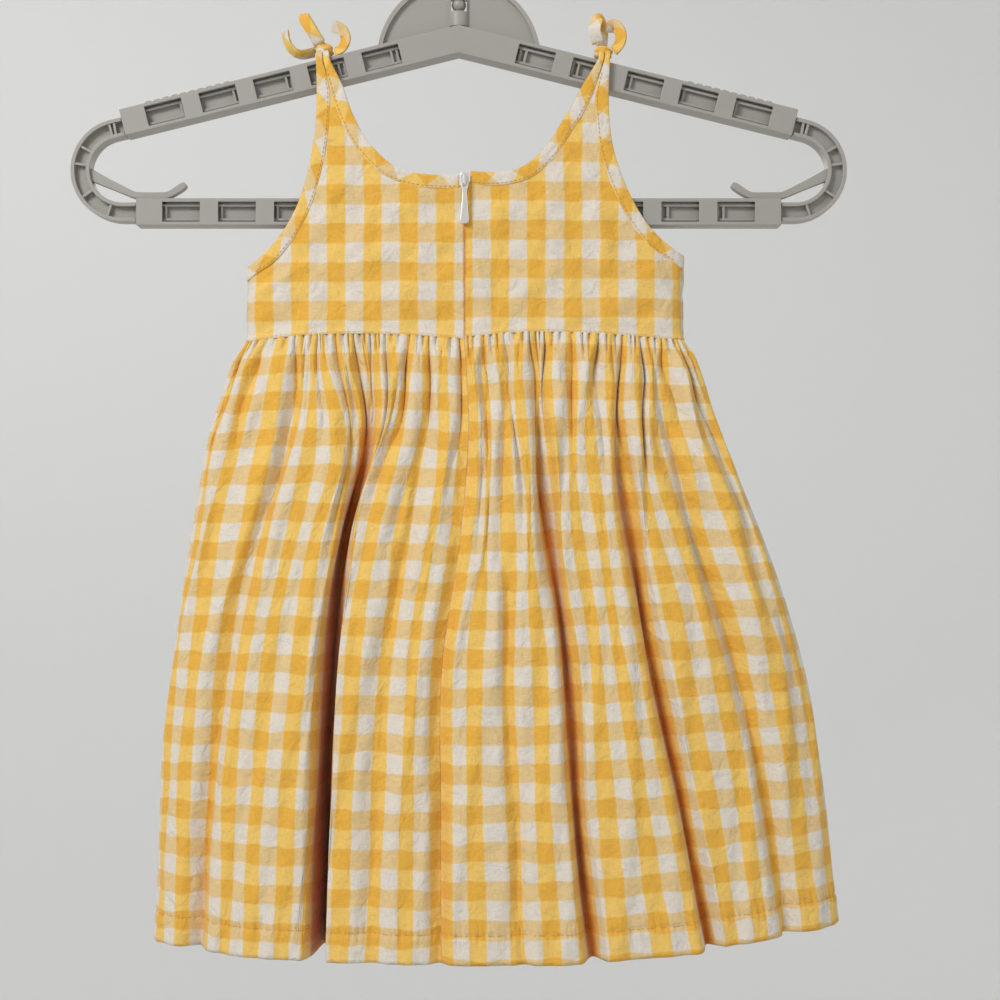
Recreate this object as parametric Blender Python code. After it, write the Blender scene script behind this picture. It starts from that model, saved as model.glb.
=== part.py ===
"""Gathered gingham sundress for a toddler, tied over a swivel hook plastic hanger.

Tables are in millimetres. +Z is up, X runs along the hanger and the back of the
dress, with its zip, faces -Y. The origin is the point where the hanger's hook
rests on a rail: the top of the inside of the hook.
"""

import math
from collections import namedtuple

import bmesh
import bpy
from mathutils import Vector

MM = 0.001
GAP = 0.3
CLOTH = 1.0
BINDING = 2.2
BINDING_WIDTH = 7.5
BOW_BAND = 1.2

# Skirt: the cloth across one face, its drop, and its closed lens section.
CLOTH_ACROSS = 619.0
WAIST_Z = -260.0
SKIRT_DROP = 337.0
HEM_DEPTH = 15.5
HEM_WALL = 1.8
LENS_POWER = 2.5
GATHERS_ACROSS = 60
GATHER_HEIGHT = 1.1
PUCKERS_ACROSS = 22
PUCKER_HEIGHT = 2.0
TURN_STEP = 0.01
SEAM_REACH = 4.0

# Rows of the skirt's mesh by drop: the upper ones show every gather, then every
# second one, and the lower ones the large folds.
GATHER_DROPS = (0.0, 3.0, 9.0)
PUCKER_DROPS = (20.0, 34.0, 52.0)
LARGE_DROPS = (76.0, 108.0, 146.0, 190.0, 234.0, 278.0)
HEM_STEP = 0.6
COLUMN_PITCH = 17.0
FLANK_COLUMNS = 3

# Bodice: side seams, depth of the closed section and zip line.
SIDE_LEFT = -118.4
SIDE_RIGHT = 125.4
BODICE_DEPTH = 12.5
CENTRE_BACK = 3.5

# Hanger: box section arms and bar, half round ends.
HANGER_HALF_DEPTH = 7.0
HANGER_EDGE = 0.8
ARM_TOP_Z = -84.0
ARM_END_X = 189.0
ARM_END_TOP_Z = -131.0
ARM_HEIGHT = 15.0
BAR_TOP_Z = -180.4
BAR_HEIGHT = 15.0
BAR_END_X = 179.5

END_CENTRE_X = -187.6
END_CENTRE_Z = -164.4
END_RADIUS = 23.4
END_WIDTH = 10.6
END_HALF_DEPTH = 5.5
END_STEPS = 14
STRAP_HOOK_HALF_DEPTH = 3.0
STRAP_HOOK = (
    (-207.0, -165.8, 6.4), (-201.5, -168.6, 5.6), (-192.0, -173.0, 4.4), (-181.5, -177.7, 3.6),
    (-178.5, -178.1, 3.6), (-164.5, -178.1, 3.6), (-161.5, -177.4, 3.6), (-154.2, -172.8, 3.8),
    (-152.6, -171.6, 2.2),
)
HUB_CENTRE_Z = -102.5
HUB_RADIUS = 45.7
HUB_FOOT_ANGLE = math.radians(11.0)
HUB_RIM = 2.4
HUB_RIM_DEPTH = 8.0
HUB_WEB = 3.0
HUB_STEPS = 24
TOOL_REACH = 10.0
BOSS_RADIUS = 5.7
BOSS_TOP_Z = -55.5
WINDOW_HALF = 4.4
WINDOW_LOW = -75.7
WINDOW_HIGH = -68.2
HOOK_RADIUS = 19.5
HOOK_WIRE = 3.2
HOOK_FOOT_Z = -52.0
HOOK_TIP_ANGLE = 205.0
HOOK_SWEEP = 245.0
HOOK_STEPS = 20
HOOK_SIDES = 10
HOOK_NECK_BEND = (5.2, 6.2, 8.0)
HOOK_CAP = ((0.9, 0.35), (0.5, 0.85))
ROUND_SIDES = 20
NECK_RADIUS = 2.6
BALL_RADIUS = 4.0
BALL_Z = -71.3
BALL_ANGLES = (55.0, 75.0, 95.0, 115.0, 135.0, 155.0)

# Zip: chain behind the seam, slider at the neck and the hinge of its pull. The
# slider and the pull are rows of half width and height, the pull's from its
# hinge, and the bridge is a profile in y and z from the same hinge.
ZIP_TOP_Z = -168.2
ZIP_FOOT_Z = -258.0
CHAIN_HALF = 1.6
CHAIN_THICKNESS = 1.0
PULL_AXIS_Y = -16.6
PULL_AXIS_Z = -171.8
PULL_AXIS_LIFT = 1.0
SLIDER_BODY = ((1.7, -176.0), (2.5, -172.0), (2.5, -168.8), (1.5, -167.6))
BRIDGE_HALF = 0.6
BRIDGE_PROFILE = (
    (1.4, -3.0), (-1.3, -3.0), (-1.9, -2.2), (-1.9, 2.2), (-1.3, 3.0), (1.4, 3.0),
    (1.4, 1.8), (-0.9, 1.8), (-0.9, -1.8), (1.4, -1.8),
)
PULL_HALF_DEPTH = 0.6
PULL_OUTLINE = (
    (1.0, 0.6), (1.5, 0.2), (1.6, -4.4), (1.3, -6.0), (1.3, -9.0), (2.0, -18.0),
    (2.35, -22.0), (2.1, -23.4), (1.2, -24.2),
)
PULL_EYE = ((0.95, -0.6), (0.95, -4.1))

SkirtRow = namedtuple("SkirtRow", "drop left right half_depth")
SKIRT_ROWS = (
    SkirtRow(0.0, SIDE_LEFT, SIDE_RIGHT, BODICE_DEPTH),
    SkirtRow(14.0, -125.4, 132.2, 15.5),
    SkirtRow(56.0, -139.4, 147.2, 23.5),
    SkirtRow(143.0, -154.3, 179.5, 34.0),
    SkirtRow(218.0, -163.2, 197.4, 40.0),
    SkirtRow(337.0, -169.7, 211.1, 46.0),
)

# Large folds. cloth is the place of the fold's bottom across the cloth at the
# waist and drift what is added to it at the hem, left and right are how far its
# crests stand from it at the hem, lean pushes the left (-) or right (+) crest
# over the fold. x and depth hold one value for each drop.
FOLD_DROPS = (0.0, 50.0, 110.0, 180.0, 260.0, 337.0)
FOLD_SLACK = 0.25
OPEN_DROP = 90.0
Fold = namedtuple("Fold", "name cloth drift left right lean x depth")
BACK_FOLDS = (
    Fold("side_left", 82.0, -36.0, 10, 12, 0.0,
         (-86.1, -92.0, -110.0, -127.0, -139.0, -145.0), (0.5, 4, 6, 8, 10, 10)),
    Fold("deep_left", 164.0, 7.0, 8, 8, -0.5,
         (-53.8, -50.5, -64.0, -72.0, -76.0, -78.5), (0.8, 12, 24, 31, 37, 42)),
    Fold("soft_left", 255.0, 7.0, 12, 12, 0.0,
         (-18.0, -20.0, -31.0, -40.0, -44.0, -46.0), (0.5, 4, 5, 5, 5, 5)),
    Fold("centre", 309.5, 0.0, 10, 8, 0.0,
         (3.5, 6.0, 1.5, -8.5, -9.0, -8.6), (0.3, 3, 5, 6, 7, 7)),
    Fold("soft_right", 350.0, 6.0, 8, 8, 0.0,
         (19.5, 24.0, 26.0, 27.0, 31.0, 36.0), (0.5, 4, 5, 5, 4, 4)),
    Fold("deep_centre", 408.0, 16.0, 8, 8, -0.3,
         (42.3, 44.3, 49.0, 59.0, 64.0, 73.0), (0.8, 9, 14, 15, 15, 15)),
    Fold("deep_right", 524.0, 6.0, 9, 8, -0.4,
         (88.0, 87.5, 94.0, 106.0, 122.6, 137.3), (0.8, 9, 13, 14, 14, 14)),
    Fold("side_right", 572.0, 20.0, 10, 10, 0.0,
         (106.9, 112.5, 128.5, 152.0, 169.0, 181.0), (0.5, 4, 7, 9, 9, 8)),
)
FRONT_FOLDS = (
    Fold("side_left", 70.0, -20.0, 11, 12, 0.0,
         (-90.8, -97.0, -113.0, -129.0, -139.0, -146.0), (0.5, 5, 7, 9, 10, 10)),
    Fold("deep_left", 150.0, 0.0, 10, 9, 0.3,
         (-59.3, -62.0, -74.0, -86.0, -94.0, -100.0), (0.8, 9, 14, 18, 22, 24)),
    Fold("soft_left", 230.0, 0.0, 12, 12, 0.0,
         (-27.8, -29.0, -34.0, -40.0, -44.0, -47.0), (0.5, 4, 6, 6, 6, 6)),
    Fold("centre", 310.0, 0.0, 9, 10, -0.3,
         (3.7, 4.0, 6.0, 8.0, 10.0, 11.0), (0.8, 8, 13, 18, 21, 22)),
    Fold("soft_right", 388.0, 0.0, 12, 12, 0.0,
         (34.4, 38.0, 46.0, 54.0, 59.0, 64.0), (0.5, 4, 6, 6, 6, 6)),
    Fold("deep_right", 474.0, 0.0, 10, 9, 0.4,
         (68.3, 73.0, 88.0, 103.0, 115.0, 123.0), (0.8, 10, 17, 22, 26, 28)),
    Fold("side_right", 556.0, 14.0, 11, 11, 0.0,
         (100.6, 108.0, 127.0, 149.0, 164.0, 174.0), (0.5, 5, 8, 9, 9, 9)),
)

# Height of the hem over its lowest stretch, at shares of the cloth from the left.
HEM_SHARES = (0.0, 0.06, 0.2, 0.35, 0.6, 0.75, 0.9, 1.0)
HEM_RISE = (5.0, 5.0, 1.5, 1.0, 0.0, 4.0, 12.0, 16.0)

# Height of the waist seam over WAIST_Z, at shares of the way from side to middle.
WAIST_SHARES = (0.0, 0.3, 0.7, 1.0)
WAIST_RISE = {
    "back_left": (0.0, 3.2, 3.2, 0.8),
    "back_right": (0.4, 3.2, 4.6, 2.0),
    "front_left": (0.0, 2.4, 2.4, 2.0),
    "front_right": (0.4, 2.4, 2.4, 2.0),
}

# Outer edges of the bindings, from the knot on the shoulder downwards.
EdgePoint = namedtuple("EdgePoint", "x z width")
NECK_LEFT = (
    EdgePoint(-72.2, -99.3, 3.2), EdgePoint(-71.7, -101.6, 3.4),
    EdgePoint(-71.4, -104.0, 3.6), EdgePoint(-63.9, -119.2, 7.3),
    EdgePoint(-58.9, -133.6, 7.5), EdgePoint(-51.2, -148.0, 7.5),
    EdgePoint(-39.6, -160.6, 7.5), EdgePoint(-32.0, -164.8, 7.5),
    EdgePoint(-23.5, -167.4, 7.5), EdgePoint(-10.2, -168.5, 7.5),
    EdgePoint(0.4, -168.5, 7.5),
)
NECK_RIGHT = (
    EdgePoint(78.0, -99.3, 2.8), EdgePoint(77.7, -101.6, 2.9),
    EdgePoint(77.4, -104.0, 3.0), EdgePoint(68.4, -119.2, 7.1),
    EdgePoint(62.3, -130.9, 7.5), EdgePoint(55.9, -141.0, 7.5),
    EdgePoint(50.4, -150.0, 7.5), EdgePoint(43.0, -158.4, 7.5),
    EdgePoint(34.0, -164.4, 7.5), EdgePoint(22.0, -166.8, 7.5),
    EdgePoint(6.6, -166.4, 7.5),
)
ARMHOLE_LEFT = (
    EdgePoint(-79.2, -99.3, 3.2), EdgePoint(-79.1, -101.6, 3.4),
    EdgePoint(-79.0, -104.0, 3.6), EdgePoint(-78.6, -121.5, 7.2),
    EdgePoint(-79.0, -135.3, 7.5), EdgePoint(-80.6, -150.8, 7.5),
    EdgePoint(-83.8, -166.8, 7.5), EdgePoint(-88.5, -182.0, 7.5),
    EdgePoint(-95.0, -195.0, 7.5), EdgePoint(-104.0, -207.0, 7.5),
    EdgePoint(-112.5, -214.6, 7.5),
)
ARMHOLE_RIGHT = (
    EdgePoint(84.3, -99.3, 2.8), EdgePoint(84.1, -101.6, 2.9),
    EdgePoint(84.0, -104.0, 3.0), EdgePoint(83.3, -121.5, 7.2),
    EdgePoint(83.6, -135.3, 7.5), EdgePoint(85.4, -151.0, 7.5),
    EdgePoint(89.6, -165.5, 7.5), EdgePoint(95.8, -180.0, 7.5),
    EdgePoint(102.8, -192.0, 7.5), EdgePoint(111.0, -201.6, 7.5),
    EdgePoint(119.0, -208.0, 7.5),
)
UNDERARM_LEFT_Z = -218.4
UNDERARM_RIGHT_Z = -211.9
UNDERARM_INSETS = (0.0, 0.5, 2.4)
UNDERARM_SLOPE = 0.5
FRONT_NECK_LOW = -180.5
APEX_POINT = 3
APEX_DROP = 2.0
ARM_SHARE = 0.47
PANEL_RISES = (0.0, 0.12, 0.3, 0.5, 0.7, 0.88, 1.0)
SHOULDER_Z = -104.0
KNOT_Z = -99.3
KNOT_DEPTH = 7.6

# Ribbons of the two bows: the angle at which each shows its width to the back,
# and its middle line from the knot outwards.
Ribbon = namedtuple("Ribbon", "name tilt width line")
LEFT_BOW = (
    Ribbon("tail", 57.0, 7.0, ((-80.6, -2.0, -98.0), (-88.6, -3.5, -99.6),
                               (-93.8, -4.0, -96.3), (-96.0, -4.0, -91.5), (-96.6, -4.0, -86.8))),
    Ribbon("loop", 25.0, 7.0, ((-77.4, -4.0, -93.5), (-81.5, -6.8, -87.4), (-85.4, -5.6, -81.2),
                               (-86.0, -1.5, -79.2), (-82.8, 2.6, -83.6), (-78.0, 3.2, -93.3))),
    Ribbon("curl", 35.0, 7.0, ((-69.2, -2.8, -98.0), (-65.4, -4.2, -96.6), (-62.9, -5.0, -91.6),
                               (-65.2, -5.0, -86.2), (-70.6, -4.0, -84.0))),
)
RIGHT_BOW = (
    Ribbon("loop", 15.0, 7.0, ((77.9, -4.2, -93.4), (75.6, -6.8, -87.6), (76.6, -5.8, -82.0),
                               (78.0, -1.8, -79.4), (80.4, 2.4, -84.6), (80.0, 3.4, -93.2))),
    Ribbon("curl", 32.0, 7.0, ((86.6, -2.4, -97.4), (89.6, -4.6, -94.0), (90.4, -5.4, -89.6),
                               (88.6, -4.4, -85.0), (85.4, -2.0, -83.2), (84.2, 0.6, -86.2))),
)
KNOT_SIZE = (5.2, 6.4, 4.4)
LEFT_KNOT = (-75.5, 0.0, -97.4)
RIGHT_KNOT = (80.6, 0.0, -98.2)

YELLOW_CHECK = (0.86, 0.60, 0.24)
BINDING_YELLOW = (0.88, 0.66, 0.34)
HANGER_GREY = (0.38, 0.37, 0.34)
ZIP_SILVER = (0.72, 0.70, 0.66)


def clear_scene():
    for old in list(bpy.data.objects):
        bpy.data.objects.remove(old)


def make_material(name, colour, roughness, metallic=0.0):
    finish = bpy.data.materials.new(name)
    finish.use_nodes = True
    shader = finish.node_tree.nodes["Principled BSDF"]
    shader.inputs["Base Color"].default_value = (*colour, 1.0)
    shader.inputs["Roughness"].default_value = roughness
    shader.inputs["Metallic"].default_value = metallic
    return finish


def add_solid(name, points, faces, finish):
    """Make one closed object from points in millimetres, faces turned outwards."""
    mesh = bpy.data.meshes.new(name)
    mesh.from_pydata([Vector(point) * MM for point in points], [], faces)
    body = bmesh.new()
    body.from_mesh(mesh)
    bmesh.ops.recalc_face_normals(body, faces=body.faces)
    body.to_mesh(mesh)
    body.free()
    mesh.materials.append(finish)
    solid = bpy.data.objects.new(name, mesh)
    bpy.context.collection.objects.link(solid)
    return solid


def curve_at(knots, values, place):
    """Read a smooth curve through values at uneven knots."""
    last = len(knots) - 1
    place = min(max(place, knots[0]), knots[last])
    index = 0
    while index < last - 1 and place > knots[index + 1]:
        index += 1

    def slope(at):
        low = max(at - 1, 0)
        high = min(at + 1, last)
        return (values[high] - values[low]) / (knots[high] - knots[low])

    span = knots[index + 1] - knots[index]
    share = (place - knots[index]) / span
    start = values[index]
    end = values[index + 1]
    return (start * (1 + 2 * share) * (1 - share) ** 2
            + end * share ** 2 * (3 - 2 * share)
            + slope(index) * span * share * (1 - share) ** 2
            - slope(index + 1) * span * share ** 2 * (1 - share))


def smooth_step(low, high, value):
    share = min(max((value - low) / (high - low), 0.0), 1.0)
    return share * share * (3 - 2 * share)


def lens_point(left, right, half_depth, turn):
    """A point of the closed flat section: turn runs from 0, left, to pi, right."""
    cosine = math.cos(turn)
    centre = (left + right) / 2
    half = (right - left) / 2
    reach = math.copysign(abs(cosine) ** (2 / LENS_POWER), cosine)
    rise = abs(math.sin(turn)) ** (2 / LENS_POWER)
    return centre - half * reach, half_depth * rise


def lens_turn(left, right, x):
    centre = (left + right) / 2
    half = (right - left) / 2
    across = min(max((x - centre) / half, -1.0), 1.0)
    cosine = -math.copysign(abs(across) ** (LENS_POWER / 2), across)
    return math.acos(cosine)


def bodice_depth(x):
    """Distance of the bodice's cloth from the plane of the hanger."""
    turn = lens_turn(SIDE_LEFT, SIDE_RIGHT, x)
    return lens_point(SIDE_LEFT, SIDE_RIGHT, BODICE_DEPTH, turn)[1]


def bezier(first, second, third, fourth, share):
    rest = 1 - share
    return (first * rest ** 3 + 3 * second * rest ** 2 * share
            + 3 * third * rest * share ** 2 + fourth * share ** 3)


def skirt_size(drop):
    drops = [row.drop for row in SKIRT_ROWS]
    return [curve_at(drops, [getattr(row, side) for row in SKIRT_ROWS], drop)
            for side in ("left", "right", "half_depth")]


def fold_stations(folds, drop):
    """Crests and bottoms along one face: cloth place, turn, depth, lean."""
    left, right, _ = skirt_size(drop)
    tightness = (SIDE_RIGHT - SIDE_LEFT) / CLOTH_ACROSS
    opened = smooth_step(0.0, OPEN_DROP, drop)
    stations = [(0.0, 0.0, 0.0, 0.0)]
    for fold in folds:
        x = curve_at(FOLD_DROPS, fold.x, drop)
        depth = max(curve_at(FOLD_DROPS, fold.depth, drop), 0.0)
        bottom = fold.cloth + fold.drift * drop / SKIRT_DROP
        for side, reach in ((-1, fold.left), (0, 0.0), (1, fold.right)):
            cloth = side * (math.hypot(reach, fold.depth[-1]) + FOLD_SLACK * fold.depth[-1])
            offset = side * ((1 - opened) * abs(cloth) * tightness + opened * reach)
            turn = lens_turn(left, right, x + offset)
            lean = fold.lean if side == 0 else 0.0
            stations.append((bottom + cloth, turn, depth if side == 0 else 0.0, lean))
    stations.append((CLOTH_ACROSS, math.pi, 0.0, 0.0))
    return stations


def fold_columns(folds, drop):
    """Places across the cloth that show the large folds at a drop."""
    places = []
    stations = fold_stations(folds, drop)
    for here, after in zip(stations, stations[1:]):
        width = after[0] - here[0]
        steps = FLANK_COLUMNS if here[2] != after[2] else max(1, round(width / COLUMN_PITCH))
        places += [here[0] + width * step / steps for step in range(steps)]
    return places + [CLOTH_ACROSS]


def even_columns(count):
    return [CLOTH_ACROSS * step / count for step in range(count + 1)]


def skirt_plan(folds, cloth, drop):
    """Plan of one face at a drop, with y measured out from the hanger's plane."""
    left, right, half_depth = skirt_size(drop)
    stations = fold_stations(folds, drop)
    index = 0
    while index < len(stations) - 2 and cloth > stations[index + 1][0]:
        index += 1
    here = stations[index]
    after = stations[index + 1]
    share = (cloth - here[0]) / (after[0] - here[0])
    span = after[1] - here[1]
    if here[2] == after[2]:
        turn = here[1] + span * share
        depth = here[2]
    else:
        lean = after[3] if after[2] > here[2] else -here[3]
        over = 0.45 - lean * smooth_step(20.0, 110.0, drop)
        near = over if after[2] > here[2] else 0.3
        far = 0.3 if after[2] > here[2] else over
        turn = bezier(here[1], here[1] + near * span, after[1] - far * span, after[1], share)
        depth = bezier(here[2], here[2], after[2], after[2], share)
    x, y = lens_point(left, right, half_depth, turn)
    before = lens_point(left, right, half_depth, max(turn - TURN_STEP, 0.0))
    beyond = lens_point(left, right, half_depth, min(turn + TURN_STEP, math.pi))
    along = Vector((beyond[0] - before[0], beyond[1] - before[1])).normalized()
    outward = Vector((-along.y, along.x))
    count = cloth / CLOTH_ACROSS
    gather = GATHER_HEIGHT * math.cos(2 * math.pi * GATHERS_ACROSS * count)
    gather *= (0.8 + 0.2 * math.sin(31.0 * count)) * (1 - smooth_step(3.0, 19.0, drop))
    swell = math.sin(2 * math.pi * PUCKERS_ACROSS * count + 1.3 * math.sin(19.0 * count))
    pucker = PUCKER_HEIGHT * swell * (0.75 + 0.25 * math.cos(43.0 * count))
    pucker *= smooth_step(2.0, 22.0, drop) * (1 - smooth_step(45.0, 190.0, drop))
    at_side = smooth_step(0.0, 12.0, cloth) * smooth_step(0.0, 12.0, CLOTH_ACROSS - cloth)
    lift = (gather + pucker) * at_side - depth
    return Vector((x, y)) + outward * lift


def seam_normal(folds, place, drop):
    """Outward normal where a panel ends, the same for the panels on both sides."""
    if place <= 0.0:
        return Vector((-1.0, 0.0))
    if place >= CLOTH_ACROSS:
        return Vector((1.0, 0.0))
    before = skirt_plan(folds, place - SEAM_REACH, drop)
    beyond = skirt_plan(folds, place + SEAM_REACH, drop)
    along = beyond - before
    return Vector((-along.y, along.x)).normalized()


def trim_ends(plan, normals, first, last):
    """Draw both ends of a plan line back by half a seam gap, square to the seam."""
    for end, normal, turn in ((0, first, 1), (-1, last, -1)):
        normals[end] = normal
        plan[end] = plan[end] + Vector((normal.y, -normal.x)) * turn * GAP / 2


def plan_normals(points):
    """Mitred outward normals of a plan line that runs from left to right."""
    normals = []
    for index, point in enumerate(points):
        before = points[max(index - 1, 0)]
        after = points[min(index + 1, len(points) - 1)]
        first = (point - before).normalized() if index else (after - point).normalized()
        second = (after - point).normalized() if after != point else first
        middle = Vector((-(first.y + second.y), first.x + second.x)).normalized()
        cosine = max(middle.dot(Vector((-first.y, first.x))), 0.45)
        normals.append(middle / cosine)
    return normals


def stitch(lower, upper):
    """Triangles between two rows of (place, index) that may differ in count."""
    faces = []
    low = 0
    high = 0
    while low < len(lower) - 1 or high < len(upper) - 1:
        step_low = high == len(upper) - 1
        if not step_low and low < len(lower) - 1:
            step_low = lower[low + 1][0] <= upper[high + 1][0] + 1e-6
        if step_low:
            faces.append((lower[low][1], lower[low + 1][1], upper[high][1]))
            low += 1
        else:
            faces.append((lower[low][1], upper[high + 1][1], upper[high][1]))
            high += 1
    return faces


def close_wall(name, rows, finish):
    """Close a wall whose rows hold (place, outer point, inner point) columns."""
    points = []
    outer_rows = []
    inner_rows = []
    for row in rows:
        outer_rows.append([(place, len(points) + at) for at, (place, _, _) in enumerate(row)])
        points += [outer for _, outer, _ in row]
        inner_rows.append([(place, len(points) + at) for at, (place, _, _) in enumerate(row)])
        points += [inner for _, _, inner in row]
    faces = []
    for surface in (outer_rows, inner_rows):
        for lower, upper in zip(surface, surface[1:]):
            faces += stitch(lower, upper)
    for outer, inner in ((outer_rows[0], inner_rows[0]), (outer_rows[-1], inner_rows[-1])):
        for at in range(len(outer) - 1):
            faces.append((outer[at][1], outer[at + 1][1], inner[at + 1][1], inner[at][1]))
    for end in (0, -1):
        for at in range(len(outer_rows) - 1):
            faces.append((outer_rows[at][end][1], outer_rows[at + 1][end][1],
                          inner_rows[at + 1][end][1], inner_rows[at][end][1]))
    return add_solid(name, points, faces, finish)


def waist_height(face, side, x):
    """Height of the waist seam at x."""
    side_x = SIDE_LEFT if side == "left" else SIDE_RIGHT
    share = min(max((x - side_x) / (CENTRE_BACK - side_x), 0.0), 1.0)
    return WAIST_Z + curve_at(WAIST_SHARES, WAIST_RISE[face + "_" + side], share)


def skirt_panel(name, face, start, end, finish):
    """One skirt panel, from the gathered waist to the turned hem."""
    folds = BACK_FOLDS if face == "back" else FRONT_FOLDS
    facing = -1 if face == "back" else 1
    hem_top = SKIRT_DROP - HEM_DEPTH
    courses = [(drop, even_columns(2 * GATHERS_ACROSS), CLOTH) for drop in GATHER_DROPS]
    courses += [(drop, even_columns(GATHERS_ACROSS), CLOTH) for drop in PUCKER_DROPS]
    courses += [(drop, fold_columns(folds, drop), CLOTH) for drop in (*LARGE_DROPS, hem_top)]
    hem_columns = fold_columns(folds, hem_top)
    courses += [(drop, hem_columns, HEM_WALL) for drop in (hem_top + HEM_STEP, SKIRT_DROP)]
    rows = []
    for drop, columns, thickness in courses:
        places = [place for place in columns if start <= place <= end]
        plan = [skirt_plan(folds, place, drop) for place in places]
        normals = plan_normals(plan)
        trim_ends(plan, normals, seam_normal(folds, start, drop), seam_normal(folds, end, drop))
        row = []
        for place, point, normal in zip(places, plan, normals):
            side = "left" if place < CLOTH_ACROSS / 2 or end < CLOTH_ACROSS else "right"
            top = waist_height(face, side, skirt_plan(folds, place, 0.0).x) - GAP
            low = WAIST_Z - SKIRT_DROP + curve_at(HEM_SHARES, HEM_RISE, place / CLOTH_ACROSS)
            z = top + (low - top) * drop / SKIRT_DROP
            outer = point + normal * thickness / 2
            inner = point - normal * thickness / 2
            row.append((place, (outer.x, facing * outer.y, z), (inner.x, facing * inner.y, z)))
        rows.append(row)
    return close_wall(name, rows, finish)


def inner_edge(edge, side, extra=0.0):
    """Line one binding width inside an edge; side +1 lies to the right going down."""
    points = [Vector((point.x, point.z)) for point in edge]
    moved = []
    for index, point in enumerate(edge):
        before = points[max(index - 1, 0)]
        after = points[min(index + 1, len(points) - 1)]
        along = (after - before).normalized()
        across = Vector((-along.y, along.x)) * side
        if index == len(points) - 1:
            across = Vector((0.0, -1.0))
        moved.append(points[index] + across * (point.width + extra))
    return moved


def underarm_turn(side, level):
    """Points in x and z that round the cloth into the side seam."""
    side_x = SIDE_LEFT if side > 0 else SIDE_RIGHT
    return [Vector((side_x + side * inset, level + UNDERARM_SLOPE * inset))
            for inset in UNDERARM_INSETS]


def line_shares(points):
    lengths = [0.0]
    for here, after in zip(points, points[1:]):
        lengths.append(lengths[-1] + (after - here).length)
    return [length / lengths[-1] for length in lengths]


def half_columns(armhole, neck, underarm_z, face, side):
    """Columns of half a bodice panel: the foot and head of each in x and z."""
    arm_line = inner_edge(armhole, side, GAP)
    neck_line = inner_edge(neck, -side, GAP)
    apex = (arm_line[APEX_POINT] + neck_line[APEX_POINT]) / 2 - Vector((0.0, APEX_DROP))
    arm_part = underarm_turn(side, underarm_z - BINDING_WIDTH - GAP)
    arm_part += list(reversed(arm_line[APEX_POINT + 1:])) + [apex]
    neck_part = [apex] + neck_line[APEX_POINT + 1:-1]
    neck_part.append(Vector((CENTRE_BACK, neck_line[-1].y)))
    shares = [ARM_SHARE * share for share in line_shares(arm_part)]
    shares += [ARM_SHARE + (1 - ARM_SHARE) * share for share in line_shares(neck_part)][1:]
    side_x = SIDE_LEFT if side > 0 else SIDE_RIGHT
    columns = []
    for share, head in zip(shares, arm_part + neck_part[1:]):
        foot_x = side_x + (CENTRE_BACK - side_x) * share
        foot_z = waist_height(face, "left" if side > 0 else "right", foot_x)
        columns.append((Vector((foot_x, foot_z)), head))
    return columns


def bodice_panel(name, columns, facing, ends, finish):
    """A bodice panel ruled between its waist seam and its bound upper edge."""
    rows = []
    for rise in PANEL_RISES:
        spots = [foot.lerp(head, rise) for foot, head in columns]
        plan = [Vector((spot.x, bodice_depth(spot.x))) for spot in spots]
        normals = plan_normals(plan)
        trim_ends(plan, normals, *ends)
        row = []
        for at, (spot, point, normal) in enumerate(zip(spots, plan, normals)):
            outer = point + normal * CLOTH / 2
            inner = point - normal * CLOTH / 2
            row.append((at, (outer.x, facing * outer.y, spot.y),
                        (inner.x, facing * inner.y, spot.y)))
        rows.append(row)
    return close_wall(name, rows, finish)


def band(name, rails, thickness, finish):
    """A flat strip between two rails of points, with closed ends."""
    first, second = rails
    points = []
    last = len(first) - 1
    for at in range(last + 1):
        along = (first[min(at + 1, last)] + second[min(at + 1, last)]
                 - first[max(at - 1, 0)] - second[max(at - 1, 0)])
        face = (second[at] - first[at]).cross(along).normalized() * thickness / 2
        points += [first[at] + face, second[at] + face, second[at] - face, first[at] - face]
    faces = [(0, 1, 2, 3), tuple(4 * last + corner for corner in range(4))]
    for at in range(last):
        for corner in range(4):
            here = 4 * at + corner
            beside = 4 * at + (corner + 1) % 4
            faces.append((here, beside, beside + 4, here + 4))
    return add_solid(name, points, faces, finish)


def on_bodice(points, facing):
    """Points of x and z laid on the bodice's section, bent over the arm at the top."""
    laid = []
    for point in points:
        depth = bodice_depth(point.x)
        over = min(max((point.y - SHOULDER_Z) / (KNOT_Z - SHOULDER_Z), 0.0), 1.0) ** 1.5
        depth += (KNOT_DEPTH - depth) * over
        laid.append(Vector((point.x, facing * depth, point.y)))
    return laid


def edge_rails(edge, side, facing):
    """Outer and inner rails of a binding that lies along an edge of one face."""
    outer = [Vector((point.x, point.z)) for point in edge]
    return on_bodice(outer, facing), on_bodice(inner_edge(edge, side), facing)


def lowered(edge):
    """The neck edge of the front, which dips lower than the one of the back."""
    top = SHOULDER_Z
    scale = (FRONT_NECK_LOW - top) / (edge[-1].z - top)
    return [EdgePoint(point.x, top + (point.z - top) * scale if point.z < top else point.z,
                      point.width) for point in edge]


def front_neck_band(name, finish):
    left = edge_rails(lowered(NECK_LEFT), -1, 1)
    right = edge_rails(lowered(NECK_RIGHT), 1, 1)
    rails = [one + list(reversed(other)) for one, other in zip(left, right)]
    return band(name, rails, BINDING, finish)


def armhole_band(name, edge, side, underarm_z, finish):
    """One binding, from the back shoulder round the underarm to the front one."""
    back = edge_rails(edge, side, -1)
    front = edge_rails(edge, side, 1)
    rails = []
    for at, (back_rail, front_rail) in enumerate(zip(back, front)):
        turn = underarm_turn(side, underarm_z - at * BINDING_WIDTH)
        round_back = on_bodice(list(reversed(turn)), -1)
        round_front = on_bodice(turn[1:], 1)
        rails.append(back_rail + round_back + round_front + list(reversed(front_rail)))
    return band(name, rails, BINDING, finish)


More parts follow.
